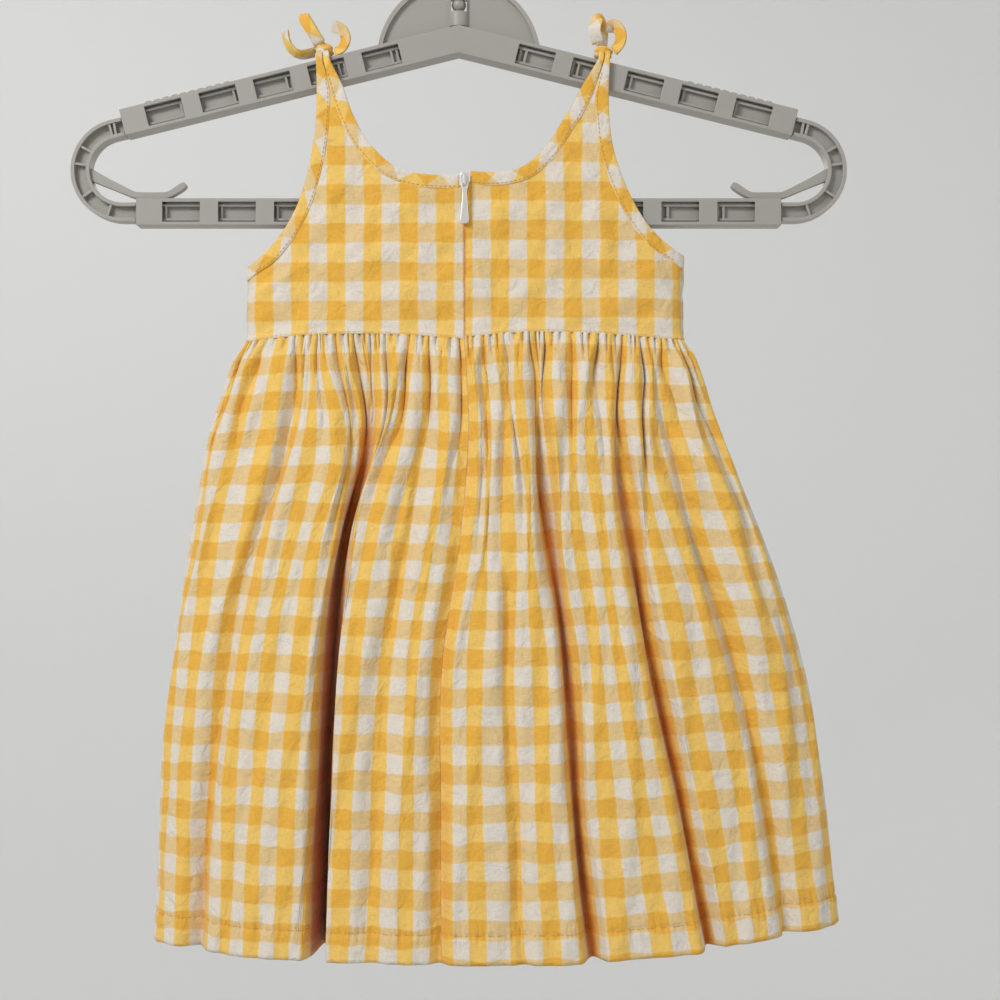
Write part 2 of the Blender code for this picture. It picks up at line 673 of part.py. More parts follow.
def ribbon_rails(ribbon):
    """Rails either side of a ribbon's middle line, turned by its tilt."""
    line = [Vector(point) for point in ribbon.line]
    tilt = math.radians(ribbon.tilt)
    previous = None
    rails = ([], [])
    for at, point in enumerate(line):
        along = (line[min(at + 1, len(line) - 1)] - line[max(at - 1, 0)]).normalized()
        flat = along.cross(Vector((0.0, 1.0, 0.0))).normalized()
        deep = flat.cross(along)
        if previous and flat.dot(previous) < 0:
            flat = -flat
            deep = -deep
        previous = flat
        across = (flat * math.cos(tilt) + deep * math.sin(tilt)) * ribbon.width / 2
        rails[0].append(point - across)
        rails[1].append(point + across)
    return rails


def add_knot(name, centre, finish):
    ball = bmesh.new()
    bmesh.ops.create_uvsphere(ball, u_segments=12, v_segments=8, radius=1.0)
    points = [(centre[0] + vert.co.x * KNOT_SIZE[0], centre[1] + vert.co.y * KNOT_SIZE[1],
               centre[2] + vert.co.z * KNOT_SIZE[2]) for vert in ball.verts]
    faces = [tuple(vert.index for vert in face.verts) for face in ball.faces]
    ball.free()
    return add_solid(name, points, faces, finish)


def add_bow(side, knot, ribbons, finish):
    add_knot(f"bow_{side}_knot", knot, finish)
    for ribbon in ribbons:
        band(f"bow_{side}_{ribbon.name}", ribbon_rails(ribbon), BOW_BAND, finish)


def prism(name, first, second, finish):
    """A solid between two outlines with the same number of points."""
    count = len(first)
    faces = [tuple(range(count)), tuple(range(count, 2 * count))]
    for at in range(count):
        after = (at + 1) % count
        faces.append((at, after, count + after, count + at))
    return add_solid(name, first + second, faces, finish)


def slab(name, outline, front, back, finish):
    """A flat plate: an outline in x and z, drawn from y = front to y = back."""
    return prism(name, [(x, front, z) for x, z in outline], [(x, back, z) for x, z in outline],
                 finish)


def combine(solid, tool, operation):
    """Join a tool to a solid, or cut it away, and leave the tool out of the build."""
    change = solid.modifiers.new(tool.name, "BOOLEAN")
    change.operation = operation
    change.object = tool
    tool.hide_render = True
    tool.display_type = "WIRE"


def soften(solid, width):
    edge = solid.modifiers.new("edges", "BEVEL")
    edge.width = width * MM
    edge.segments = 1
    edge.limit_method = "ANGLE"
    edge.angle_limit = math.radians(50)


def cylinder(name, centre, radius, low, high, finish):
    ring = [(centre + radius * math.cos(2 * math.pi * at / ROUND_SIDES),
             radius * math.sin(2 * math.pi * at / ROUND_SIDES)) for at in range(ROUND_SIDES)]
    return prism(name, [(x, y, low) for x, y in ring], [(x, y, high) for x, y in ring], finish)


def path_outline(line):
    """Outline of a flat path given by rows of x, z and width."""
    near = []
    far = []
    for at, (x, z, width) in enumerate(line):
        before = line[max(at - 1, 0)]
        after = line[min(at + 1, len(line) - 1)]
        along = Vector((after[0] - before[0], after[1] - before[1])).normalized()
        across = Vector((-along.y, along.x)) * width / 2
        near.append((x + across.x, z + across.y))
        far.append((x - across.x, z - across.y))
    return near + list(reversed(far))


def arm_line():
    """Unit direction of the left arm, outwards, and its downward normal."""
    slope = Vector((-ARM_END_X, ARM_END_TOP_Z - ARM_TOP_Z)).normalized()
    return slope, Vector((-slope.y, slope.x))


def hanger_arms(finish):
    _, down = arm_line()
    foot_x = ARM_END_X - abs(down.x) * ARM_HEIGHT
    foot_z = ARM_END_TOP_Z - abs(down.y) * ARM_HEIGHT
    middle_z = ARM_TOP_Z - ARM_HEIGHT / abs(down.y)
    outline = [(0.0, ARM_TOP_Z), (ARM_END_X, ARM_END_TOP_Z), (foot_x, foot_z),
               (0.0, middle_z), (-foot_x, foot_z), (-ARM_END_X, ARM_END_TOP_Z)]
    arms = slab("hanger_arms", outline, -HANGER_HALF_DEPTH, HANGER_HALF_DEPTH, finish)
    soften(arms, HANGER_EDGE)


def hanger_bar(finish):
    low = BAR_TOP_Z - BAR_HEIGHT
    outline = [(-BAR_END_X, BAR_TOP_Z), (BAR_END_X, BAR_TOP_Z), (BAR_END_X, low), (-BAR_END_X, low)]
    bar = slab("hanger_bar", outline, -HANGER_HALF_DEPTH, HANGER_HALF_DEPTH, finish)
    soften(bar, HANGER_EDGE)


def hanger_end(name, side, finish):
    """A half round end between arm and bar, with its strap hook."""
    slope, _ = arm_line()
    start = math.atan2(-slope.x, slope.y)
    turn_end = 1.5 * math.pi
    line = []
    first = Vector((END_CENTRE_X + END_RADIUS * math.cos(start),
                    END_CENTRE_Z + END_RADIUS * math.sin(start)))
    reach = (first - Vector((-ARM_END_X, ARM_END_TOP_Z))).dot(slope) - GAP
    lead = first - slope * reach
    line.append((lead.x, lead.y, END_WIDTH))
    for step in range(END_STEPS + 1):
        angle = start + (turn_end - start) * step / END_STEPS
        line.append((END_CENTRE_X + END_RADIUS * math.cos(angle),
                     END_CENTRE_Z + END_RADIUS * math.sin(angle), END_WIDTH))
    line.append((-BAR_END_X - GAP, END_CENTRE_Z - END_RADIUS, END_WIDTH))
    outline = [(-side * x, z) for x, z in path_outline(line)]
    end = slab(name, outline, -END_HALF_DEPTH, END_HALF_DEPTH, finish)
    hook_outline = [(-side * x, z) for x, z in path_outline(STRAP_HOOK)]
    hook = slab(name + "_hook_tool", hook_outline, -STRAP_HOOK_HALF_DEPTH, STRAP_HOOK_HALF_DEPTH,
                finish)
    combine(end, hook, "UNION")


def hanger_hub(finish):
    """The half round plate over the arms, with the boss that holds the hook."""
    arc = [HUB_FOOT_ANGLE + (math.pi - 2 * HUB_FOOT_ANGLE) * step / HUB_STEPS
           for step in range(HUB_STEPS + 1)]

    def ring(radius):
        return [(radius * math.cos(angle), HUB_CENTRE_Z + radius * math.sin(angle))
                for angle in arc]

    web_outline = ring(HUB_RADIUS - HUB_RIM / 2) + [(0.0, ARM_TOP_Z + GAP)]
    web = slab("hanger_hub", web_outline, -HUB_WEB / 2, HUB_WEB / 2, finish)
    rim_outline = ring(HUB_RADIUS) + list(reversed(ring(HUB_RADIUS - HUB_RIM)))
    rim = slab("hub_rim_tool", rim_outline, -HUB_RIM_DEPTH / 2, HUB_RIM_DEPTH / 2, finish)
    boss = cylinder("hub_boss_tool", 0.0, BOSS_RADIUS, ARM_TOP_Z + GAP, BOSS_TOP_Z, finish)
    combine(web, rim, "UNION")
    combine(web, boss, "UNION")
    window_outline = [(-WINDOW_HALF, WINDOW_LOW), (WINDOW_HALF, WINDOW_LOW),
                      (WINDOW_HALF, WINDOW_HIGH), (-WINDOW_HALF, WINDOW_HIGH)]
    window = slab("hub_window_tool", window_outline, -TOOL_REACH, TOOL_REACH, finish)
    bore = cylinder("hub_bore_tool", 0.0, NECK_RADIUS + GAP, (WINDOW_LOW + WINDOW_HIGH) / 2,
                    BOSS_TOP_Z + TOOL_REACH, finish)
    combine(web, window, "DIFFERENCE")
    combine(web, bore, "DIFFERENCE")


def hook_stations():
    """The hook's middle line and radius, from its tip down to its ball."""
    circle = HOOK_RADIUS + HOOK_WIRE
    stations = []
    for step in range(HOOK_STEPS + 1):
        angle = math.radians(HOOK_TIP_ANGLE - HOOK_SWEEP * step / HOOK_STEPS)
        stations.append((circle * math.cos(angle), -HOOK_RADIUS + circle * math.sin(angle),
                         HOOK_WIRE))
    x, z, _ = stations[-1]
    inward, downward, lead = HOOK_NECK_BEND
    neck_steps = 6
    for step in range(1, neck_steps):
        share = step / neck_steps
        stations.append((bezier(x, x - inward, 0.0, 0.0, share),
                         bezier(z, z - downward, HOOK_FOOT_Z + lead, HOOK_FOOT_Z, share),
                         HOOK_WIRE))
    stations.append((0.0, HOOK_FOOT_Z, HOOK_WIRE))
    stations.append((0.0, HOOK_FOOT_Z - 1.0, NECK_RADIUS))
    neck_end = BALL_Z + math.sqrt(BALL_RADIUS ** 2 - NECK_RADIUS ** 2)
    stations.append((0.0, neck_end, NECK_RADIUS))
    for angle in BALL_ANGLES:
        radius = BALL_RADIUS * math.sin(math.radians(angle))
        stations.append((0.0, BALL_Z + BALL_RADIUS * math.cos(math.radians(angle)), radius))
    start = Vector(stations[0][:2])
    back = (start - Vector(stations[1][:2])).normalized()
    cap = [(start.x + back.x * HOOK_WIRE * far, start.y + back.y * HOOK_WIRE * far,
            HOOK_WIRE * size) for far, size in HOOK_CAP]
    return cap + stations


def hanger_hook(finish):
    stations = hook_stations()
    points = []
    for at, (x, z, radius) in enumerate(stations):
        before = stations[max(at - 1, 0)]
        after = stations[min(at + 1, len(stations) - 1)]
        along = Vector((after[0] - before[0], after[1] - before[1])).normalized()
        for side in range(HOOK_SIDES):
            angle = 2 * math.pi * side / HOOK_SIDES
            out = radius * math.cos(angle)
            points.append((x - along.y * out, radius * math.sin(angle), z + along.x * out))
    last = len(stations) - 1
    faces = [tuple(range(HOOK_SIDES)), tuple(last * HOOK_SIDES + side
                                             for side in range(HOOK_SIDES))]
    for at in range(last):
        low = at * HOOK_SIDES
        high = low + HOOK_SIDES
        for side in range(HOOK_SIDES):
            after = (side + 1) % HOOK_SIDES
            faces.append((low + side, low + after, high + after, high + side))
    add_solid("hanger_hook", points, faces, finish)


def mirrored(halves):
    """An outline about the middle line, from rows of half width and height."""
    return list(halves) + [(-half, z) for half, z in reversed(halves)]


def zip_chain(finish):
    outline = [(CENTRE_BACK + x, z) for x, z in mirrored(((CHAIN_HALF, ZIP_TOP_Z),
                                                          (CHAIN_HALF, ZIP_FOOT_Z)))]
    back = -(BODICE_DEPTH - CLOTH / 2 - GAP)
    slab("zip_chain", outline, back, back + CHAIN_THICKNESS, finish)


def zip_slider(finish):
    """The slider's body with the bridge that the pull hangs from."""
    face = PULL_AXIS_Y + PULL_AXIS_LIFT
    back = -(BODICE_DEPTH + CLOTH / 2 + GAP)
    outline = [(CENTRE_BACK + x, z) for x, z in mirrored(SLIDER_BODY)]
    body = slab("zip_slider", outline, face, back, finish)
    sides = [[(CENTRE_BACK + x, PULL_AXIS_Y + y, PULL_AXIS_Z + z) for y, z in BRIDGE_PROFILE]
             for x in (-BRIDGE_HALF, BRIDGE_HALF)]
    bridge = prism("slider_bridge_tool", sides[0], sides[1], finish)
    combine(body, bridge, "UNION")


def zip_pull(finish):
    """The teardrop pull, whose origin is on its hinge in the slider's bridge."""
    pull = slab("zip_pull", mirrored(PULL_OUTLINE), -PULL_HALF_DEPTH, PULL_HALF_DEPTH, finish)
    eye = slab("pull_eye_tool", mirrored(PULL_EYE), -TOOL_REACH, TOOL_REACH, finish)
    hinge = Vector((CENTRE_BACK, PULL_AXIS_Y, PULL_AXIS_Z)) * MM
    pull.location = hinge
    eye.location = hinge
    combine(pull, eye, "DIFFERENCE")


def main():
    clear_scene()
    check_cloth = make_material("gingham_cotton", YELLOW_CHECK, 0.85)
    binding_cloth = make_material("bias_binding", BINDING_YELLOW, 0.85)
    plastic = make_material("grey_plastic", HANGER_GREY, 0.45)
    metal = make_material("zip_metal", ZIP_SILVER, 0.25, 1.0)
    tape = make_material("zip_tape", BINDING_YELLOW, 0.8)
    middle_cloth = CLOTH_ACROSS / 2
    skirt_panel("skirt_back_left", "back", 0.0, middle_cloth, check_cloth)
    skirt_panel("skirt_back_right", "back", middle_cloth, CLOTH_ACROSS, check_cloth)
    skirt_panel("skirt_front", "front", 0.0, CLOTH_ACROSS, check_cloth)
    left_side = Vector((-1.0, 0.0))
    right_side = Vector((1.0, 0.0))
    middle = Vector((0.0, 1.0))
    left = half_columns(ARMHOLE_LEFT, NECK_LEFT, UNDERARM_LEFT_Z, "back", 1)
    right = half_columns(ARMHOLE_RIGHT, NECK_RIGHT, UNDERARM_RIGHT_Z, "back", -1)
    right.reverse()
    bodice_panel("bodice_back_left", left, -1, (left_side, middle), check_cloth)
    bodice_panel("bodice_back_right", right, -1, (middle, right_side), check_cloth)
    left = half_columns(ARMHOLE_LEFT, lowered(NECK_LEFT), UNDERARM_LEFT_Z, "front", 1)
    right = half_columns(ARMHOLE_RIGHT, lowered(NECK_RIGHT), UNDERARM_RIGHT_Z, "front", -1)
    right.reverse()
    bodice_panel("bodice_front", left + right[1:], 1, (left_side, right_side), check_cloth)
    band("neck_binding_back_left", edge_rails(NECK_LEFT, -1, -1), BINDING, binding_cloth)
    band("neck_binding_back_right", edge_rails(NECK_RIGHT, 1, -1), BINDING, binding_cloth)
    front_neck_band("neck_binding_front", binding_cloth)
    armhole_band("armhole_binding_left", ARMHOLE_LEFT, 1, UNDERARM_LEFT_Z, binding_cloth)
    armhole_band("armhole_binding_right", ARMHOLE_RIGHT, -1, UNDERARM_RIGHT_Z, binding_cloth)
    add_bow("left", LEFT_KNOT, LEFT_BOW, binding_cloth)
    add_bow("right", RIGHT_KNOT, RIGHT_BOW, binding_cloth)
    zip_chain(tape)
    zip_slider(metal)
    zip_pull(metal)
    hanger_arms(plastic)
    hanger_bar(plastic)
    hanger_end("hanger_end_left", 1, plastic)
    hanger_end("hanger_end_right", -1, plastic)
    hanger_hub(plastic)
    hanger_hook(plastic)


main()
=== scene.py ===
"""Looks of the gathered gingham sundress on its grey hanger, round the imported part.

Each section's sizes are in millimetres. +Z is up, X runs along the hanger, and
the back of the dress, with its zip, faces -Y.
"""

import math
from collections import namedtuple

import bmesh
import bpy
import numpy as np
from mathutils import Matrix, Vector, noise


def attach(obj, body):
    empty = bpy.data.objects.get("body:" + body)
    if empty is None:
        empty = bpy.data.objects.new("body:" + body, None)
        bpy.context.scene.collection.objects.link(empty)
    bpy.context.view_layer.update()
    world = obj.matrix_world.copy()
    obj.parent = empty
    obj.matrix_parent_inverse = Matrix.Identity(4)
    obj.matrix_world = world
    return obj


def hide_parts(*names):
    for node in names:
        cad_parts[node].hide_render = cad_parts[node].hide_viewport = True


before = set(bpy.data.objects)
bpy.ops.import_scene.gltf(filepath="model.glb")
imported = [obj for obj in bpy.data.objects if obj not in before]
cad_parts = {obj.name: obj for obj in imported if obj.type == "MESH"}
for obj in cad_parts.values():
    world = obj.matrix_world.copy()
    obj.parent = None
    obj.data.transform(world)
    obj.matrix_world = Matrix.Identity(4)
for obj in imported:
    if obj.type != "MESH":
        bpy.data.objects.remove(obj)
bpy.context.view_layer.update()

# The cloth is a yarn dyed cotton gingham: equal stripes of yellow and white in
# warp and weft, which cross as four tones. Its threads are uneven, and washing
# has left it softly crumpled. UV maps hold places on the flat cloth in metres.
MM = 0.001
CHECK_PERIOD = 20.5
CHECK_EDGE = 0.02
THREAD_SWAY = 2.2
SWAYS_PER_METRE = 55.0
SLUBS_ACROSS_PER_METRE = 1500.0
SLUBS_ALONG_PER_METRE = 260.0
CRUMPLES_PER_METRE = 120.0
WHITE_TONE = (0.79, 0.725, 0.635, 1.0)
WARP_TONE = (0.90, 0.59, 0.15, 1.0)
WEFT_TONE = (0.80, 0.585, 0.285, 1.0)
CROSS_TONE = (0.84, 0.46, 0.065, 1.0)
SLUB_SHADE = 0.10
CRUMPLE_DEPTH = 1.8
WEAVE_DEPTH = 0.10
# Painted shade: the warm brown that is multiplied into the cloth deep in folds and along the back
# seams.
FOLD_SHADE_COLOUR = (0.78, 0.36, 0.13, 1.0)


def add_node(tree, kind, values=(), **settings):
    """Add a shader node; values pairs an input with a number, colour or link."""
    made = tree.nodes.new(kind)
    for field, value in settings.items():
        setattr(made, field, value)
    for socket, value in values:
        if isinstance(value, bpy.types.NodeSocket):
            tree.links.new(value, made.inputs[socket])
        else:
            made.inputs[socket].default_value = value
    return made


def new_finish(name, roughness, metallic=0.0):
    """A Principled material, its node tree and its shader."""
    finish = bpy.data.materials.new(name)
    finish.use_nodes = True
    shader = finish.node_tree.nodes["Principled BSDF"]
    shader.inputs["Roughness"].default_value = roughness
    shader.inputs["Metallic"].default_value = metallic
    return finish, finish.node_tree, shader


def blend_colours(tree, factor, first, second, blend="MIX"):
    mixed = add_node(tree, "ShaderNodeMix", ((0, factor), (6, first), (7, second)),
                     data_type="RGBA", blend_type=blend)
    return mixed.outputs[2]


def stripe_mask(tree, place):
    """0 in a white stripe and 1 in a yellow one; whole turns are white centres."""
    turns = add_node(tree, "ShaderNodeMath", ((0, place), (1, 1 / (CHECK_PERIOD * MM))),
                     operation="MULTIPLY")
    swing = add_node(tree, "ShaderNodeMath", ((0, turns.outputs[0]), (1, 0.5)),
                     operation="PINGPONG")
    edge = add_node(tree, "ShaderNodeMapRange",
                    (("Value", swing.outputs[0]), ("From Min", 0.25 - CHECK_EDGE),
                     ("From Max", 0.25 + CHECK_EDGE)))
    return edge.outputs[0]


def stretched_noise(tree, cloth, across, along):
    """Noise on the cloth, drawn out along one set of threads; scales are per metre."""
    scaled = add_node(tree, "ShaderNodeVectorMath",
                      ((0, cloth), (1, (across, along, 1.0))), operation="MULTIPLY")
    speckle = add_node(tree, "ShaderNodeTexNoise",
                       (("Vector", scaled.outputs[0]), ("Scale", 1.0), ("Detail", 3.0)))
    return speckle.outputs[0]


def gingham_finish(name):
    """Four tones from the two stripe masks, darkened to warm brown by painted shade in folds and
    seams, with raised threads.
    """
    finish, tree, shader = new_finish(name, 0.88)
    cloth = add_node(tree, "ShaderNodeUVMap").outputs[0]
    sway = add_node(tree, "ShaderNodeTexNoise", (("Vector", cloth), ("Scale", SWAYS_PER_METRE)))
    drift = add_node(tree, "ShaderNodeVectorMath",
                     ((0, sway.outputs[1]), (1, (0.5, 0.5, 0.5))), operation="SUBTRACT")
    moved = add_node(tree, "ShaderNodeVectorMath",
                     ((0, drift.outputs[0]), (1, (THREAD_SWAY * MM, THREAD_SWAY * MM, 0.0)),
                      (2, cloth)), operation="MULTIPLY_ADD")
    places = add_node(tree, "ShaderNodeSeparateXYZ", ((0, moved.outputs[0]),))
    warp = stripe_mask(tree, places.outputs[0])
    weft = stripe_mask(tree, places.outputs[1])
    white_row = blend_colours(tree, warp, WHITE_TONE, WARP_TONE)
    yellow_row = blend_colours(tree, warp, WEFT_TONE, CROSS_TONE)
    checks = blend_colours(tree, weft, white_row, yellow_row)
    warp_slubs = stretched_noise(tree, cloth, SLUBS_ACROSS_PER_METRE, SLUBS_ALONG_PER_METRE)
    weft_slubs = stretched_noise(tree, cloth, SLUBS_ALONG_PER_METRE, SLUBS_ACROSS_PER_METRE)
    slubs = add_node(tree, "ShaderNodeMath", ((0, warp_slubs), (1, weft_slubs)), operation="ADD")
    shading = add_node(tree, "ShaderNodeMapRange",
                       (("Value", slubs.outputs[0]), ("From Min", 0.7), ("From Max", 1.3),
                        ("To Min", 1.0 - SLUB_SHADE), ("To Max", 1.0 + SLUB_SHADE / 2)))
    shaded = add_node(tree, "ShaderNodeVectorMath",
                      ((0, checks), (1, shading.outputs[0])), operation="MULTIPLY")
    # Painted shade: each point's stored fold and seam shade pulls the checks towards the warm
    # brown.
    fold_shade_amount = add_node(tree, "ShaderNodeAttribute", attribute_name="painted_shade")
    fold_shaded = blend_colours(tree, fold_shade_amount.outputs["Fac"], shaded.outputs[0], FOLD_SHADE_COLOUR, "MULTIPLY")
    tree.links.new(fold_shaded, shader.inputs["Base Color"])
    weave = add_node(tree, "ShaderNodeBump",
                     (("Height", slubs.outputs[0]), ("Strength", 1.0),
                      ("Distance", WEAVE_DEPTH * MM)))
    crumples = add_node(tree, "ShaderNodeTexNoise",
                        (("Vector", cloth), ("Scale", CRUMPLES_PER_METRE), ("Detail", 3.0),
                         ("Distortion", 0.6)))
    creased = add_node(tree, "ShaderNodeBump",
                       (("Height", crumples.outputs[0]), ("Strength", 1.0),
                        ("Distance", CRUMPLE_DEPTH * MM), ("Normal", weave.outputs[0])))
    tree.links.new(creased.outputs[0], shader.inputs["Normal"])
    shader.inputs["Sheen Weight"].default_value = 0.25
    shader.inputs["Sheen Roughness"].default_value = 0.5
    shader.inputs["Specular IOR Level"].default_value = 0.2
    return finish


gingham = gingham_finish("gingham_cotton")

# The skirt is cut as two back panels and one front panel, 2.5 times as wide as
# the waist. It is gathered into the waist seam in fine puckers that run together
# into soft folds, three of them deep, and ends in a turned and stitched hem.
CLOTH_THICKNESS = 0.45
CLOTH_ACROSS = 619.0
MIDDLE_SEAM = CLOTH_ACROSS / 2
WAIST_Z = -260.0
SKIRT_DROP = 337.0
HEM_DEPTH = 15.5
LENS_POWER = 2.5
SIDE_LEFT = -118.4
SIDE_RIGHT = 125.4
BODICE_DEPTH = 12.5
CENTRE_BACK = 3.5
FOLD_DROPS = (0.0, 50.0, 110.0, 180.0, 260.0, 337.0)
FOLD_SLACK = 0.25
FOLD_CREST = 0.45
FOLD_BOTTOM = 0.3
LEAN_START = (20.0, 110.0)
# Fold depths, in mm, over which the painted fold shade fades in.
SHADED_DEPTHS = (7.0, 15.0)
OPEN_DROP = 90.0
BROAD_PUCKERS = 22
PUCKER_PHASE = 0.25
BROAD_HEIGHT = 4.3
BROAD_START = (1.0, 18.0)
ROUNDED_FROM = (20.0, 120.0)
ROUNDED_LOSS = 0.35
MIDDLE_HEIGHT = 1.3
MIDDLE_START = (0.5, 9.0)
DOUBLE_DRIFT = 0.16
FINE_HEIGHT = 1.5
TRIPLE_DRIFT = 0.3
LONG_HEIGHT = 1.6
LONG_START = (40.0, 150.0)
HEM_PUCKERS = 150
HEM_CRIMP = 0.5
HEM_CRIMP_REACH = 5.0
HEM_GROOVE = 0.6
HEM_GROOVE_REACH = 1.2
HEM_STEP = 0.4
ROW_SWAY = 1.2
WANDER = 1.3
SEAM_CALM = 12.0
# Painted shade along the seams where the back panels meet: full on the turned flaps, this share
# on the seam's last column.
SEAM_SHADE = 0.7
SEAM_STEPS = (1.0, 0.6, 0.25)
SEAM_COLUMNS = len(SEAM_STEPS)
SEAM_CURL = 0.35
SEAM_FLAP = 5.0
FACING = {"back": -1, "front": 1}

SkirtRow = namedtuple("SkirtRow", "drop left right half_depth")
SKIRT_ROWS = (
    SkirtRow(0.0, SIDE_LEFT, SIDE_RIGHT, BODICE_DEPTH),
    SkirtRow(14.0, -125.4, 132.2, 15.5),
    SkirtRow(56.0, -139.4, 147.2, 23.5),
    SkirtRow(143.0, -154.3, 179.5, 34.0),
    SkirtRow(218.0, -163.2, 197.4, 40.0),
    SkirtRow(337.0, -169.7, 211.1, 46.0),
)
Fold = namedtuple("Fold", "name cloth drift left right lean x depth")
BACK_FOLDS = (
    Fold("side_left", 83.0, -32.5, 10, 12, 0.0,
         (-86.1, -92.0, -110.0, -127.0, -139.0, -145.0), (0.5, 4, 6, 8, 10, 10)),
    Fold("deep_left", 178.0, 6.0, 8, 8, -0.5,
         (-53.8, -50.5, -64.0, -72.0, -76.0, -78.5), (0.8, 12, 24, 31, 37, 42)),
    Fold("soft_left", 263.0, 1.0, 12, 12, 0.0,
         (-18.0, -20.0, -31.0, -40.0, -44.0, -46.0), (0.5, 4, 5, 5, 5, 5)),
    Fold("centre", 309.5, 0.0, 10, 8, 0.0,
         (3.5, 6.0, 1.5, -8.5, -9.0, -8.6), (0.3, 3, 5, 6, 7, 7)),
    Fold("soft_right", 351.0, 9.0, 8, 8, 0.0,
         (19.5, 24.0, 26.0, 27.0, 31.0, 36.0), (0.5, 4, 5, 5, 4, 4)),
    Fold("deep_centre", 399.0, 13.0, 8, 8, -0.3,
         (42.3, 44.3, 49.0, 59.0, 64.0, 73.0), (0.8, 9, 14, 15, 15, 15)),
    Fold("deep_right", 490.0, 7.0, 9, 8, -0.4,
         (88.0, 87.5, 94.0, 106.0, 122.6, 137.3), (0.8, 9, 13, 14, 14, 14)),
    Fold("side_right", 547.0, 18.0, 10, 10, 0.0,
         (106.9, 112.5, 128.5, 152.0, 169.0, 181.0), (0.5, 4, 7, 9, 9, 8)),
)
FRONT_FOLDS = (
    Fold("side_left", 70.0, -20.0, 11, 12, 0.0,
         (-90.8, -97.0, -113.0, -129.0, -139.0, -146.0), (0.5, 5, 7, 9, 10, 10)),
    Fold("deep_left", 150.0, 0.0, 10, 9, 0.3,
         (-59.3, -62.0, -74.0, -86.0, -94.0, -100.0), (0.8, 9, 14, 18, 22, 24)),
    Fold("soft_left", 230.0, 0.0, 12, 12, 0.0,
         (-27.8, -29.0, -34.0, -40.0, -44.0, -47.0), (0.5, 4, 6, 6, 6, 6)),
    Fold("centre", 310.0, 0.0, 9, 10, -0.3,
         (3.7, 4.0, 6.0, 8.0, 10.0, 11.0), (0.8, 8, 13, 18, 21, 22)),
    Fold("soft_right", 388.0, 0.0, 12, 12, 0.0,
         (34.4, 38.0, 46.0, 54.0, 59.0, 64.0), (0.5, 4, 6, 6, 6, 6)),
    Fold("deep_right", 474.0, 0.0, 10, 9, 0.4,
         (68.3, 73.0, 88.0, 103.0, 115.0, 123.0), (0.8, 10, 17, 22, 26, 28)),
    Fold("side_right", 556.0, 14.0, 11, 11, 0.0,
         (100.6, 108.0, 127.0, 149.0, 164.0, 174.0), (0.5, 5, 8, 9, 9, 9)),
)
FOLDS = {"back": BACK_FOLDS, "front": FRONT_FOLDS}
HEM_SHARES = (0.0, 0.06, 0.2, 0.35, 0.6, 0.75, 0.9, 1.0)
HEM_RISE = (5.0, 5.0, 1.5, 1.0, 0.0, 4.0, 12.0, 16.0)
WAIST_SHARES = (0.0, 0.3, 0.7, 1.0)
WAIST_RISE = {
    "back_left": (0.0, 3.2, 3.2, 0.8),
    "back_right": (0.4, 3.2, 4.6, 2.0),
    "front_left": (0.0, 2.4, 2.4, 2.0),
    "front_right": (0.4, 2.4, 2.4, 2.0),
}


def curve_at(knots, values, place):
    """Read a smooth curve through values at uneven knots, at one or many places."""
    knots = np.asarray(knots, float)
    values = np.asarray(values, float)
    place = np.clip(place, knots[0], knots[-1])
    index = np.clip(np.searchsorted(knots, place) - 1, 0, len(knots) - 2)
    low = np.maximum(np.arange(len(knots)) - 1, 0)
    high = np.minimum(np.arange(len(knots)) + 1, len(knots) - 1)
    slopes = (values[high] - values[low]) / (knots[high] - knots[low])
    span = knots[index + 1] - knots[index]
    share = (place - knots[index]) / span
    return (values[index] * (1 + 2 * share) * (1 - share) ** 2
            + values[index + 1] * share ** 2 * (3 - 2 * share)
            + slopes[index] * span * share * (1 - share) ** 2
            - slopes[index + 1] * span * share ** 2 * (1 - share))


def smooth_step(low, high, value):
    share = np.clip((value - low) / (high - low), 0.0, 1.0)
    return share * share * (3 - 2 * share)


def lens_points(left, right, half_depth, turns):
    """Points of the closed flat section: turns run from 0, left, to pi, right."""
    cosine = np.cos(turns)
    reach = np.copysign(np.abs(cosine) ** (2 / LENS_POWER), cosine)
    rise = np.abs(np.sin(turns)) ** (2 / LENS_POWER)
    return (left + right) / 2 - (right - left) / 2 * reach, half_depth * rise


def lens_turn(left, right, x):
    across = np.clip((x - (left + right) / 2) / ((right - left) / 2), -1.0, 1.0)
    return np.arccos(-np.copysign(np.abs(across) ** (LENS_POWER / 2), across))


def skirt_size(drop):
    drops = [row.drop for row in SKIRT_ROWS]
    return [float(curve_at(drops, [getattr(row, side) for row in SKIRT_ROWS], drop))
            for side in ("left", "right", "half_depth")]


def fold_stations(folds, drop):
    """Crests and bottoms along one face: cloth place, turn, depth and lean."""
    left, right, _ = skirt_size(drop)
    tightness = (SIDE_RIGHT - SIDE_LEFT) / CLOTH_ACROSS
    opened = smooth_step(0.0, OPEN_DROP, drop)
    stations = [(0.0, 0.0, 0.0, 0.0)]
    for fold in folds:
        x = curve_at(FOLD_DROPS, fold.x, drop)
        depth = max(float(curve_at(FOLD_DROPS, fold.depth, drop)), 0.0)
        bottom = fold.cloth + fold.drift * drop / SKIRT_DROP
        for side, reach in ((-1, fold.left), (0, 0.0), (1, fold.right)):
            cloth = side * (math.hypot(reach, fold.depth[-1]) + FOLD_SLACK * fold.depth[-1])
            offset = side * ((1 - opened) * abs(cloth) * tightness + opened * reach)
            turn = float(lens_turn(left, right, x + offset))
            middle = side == 0
            stations.append((bottom + cloth, turn, depth * middle, fold.lean * middle))
    stations.append((CLOTH_ACROSS, math.pi, 0.0, 0.0))
    return np.array(stations).T


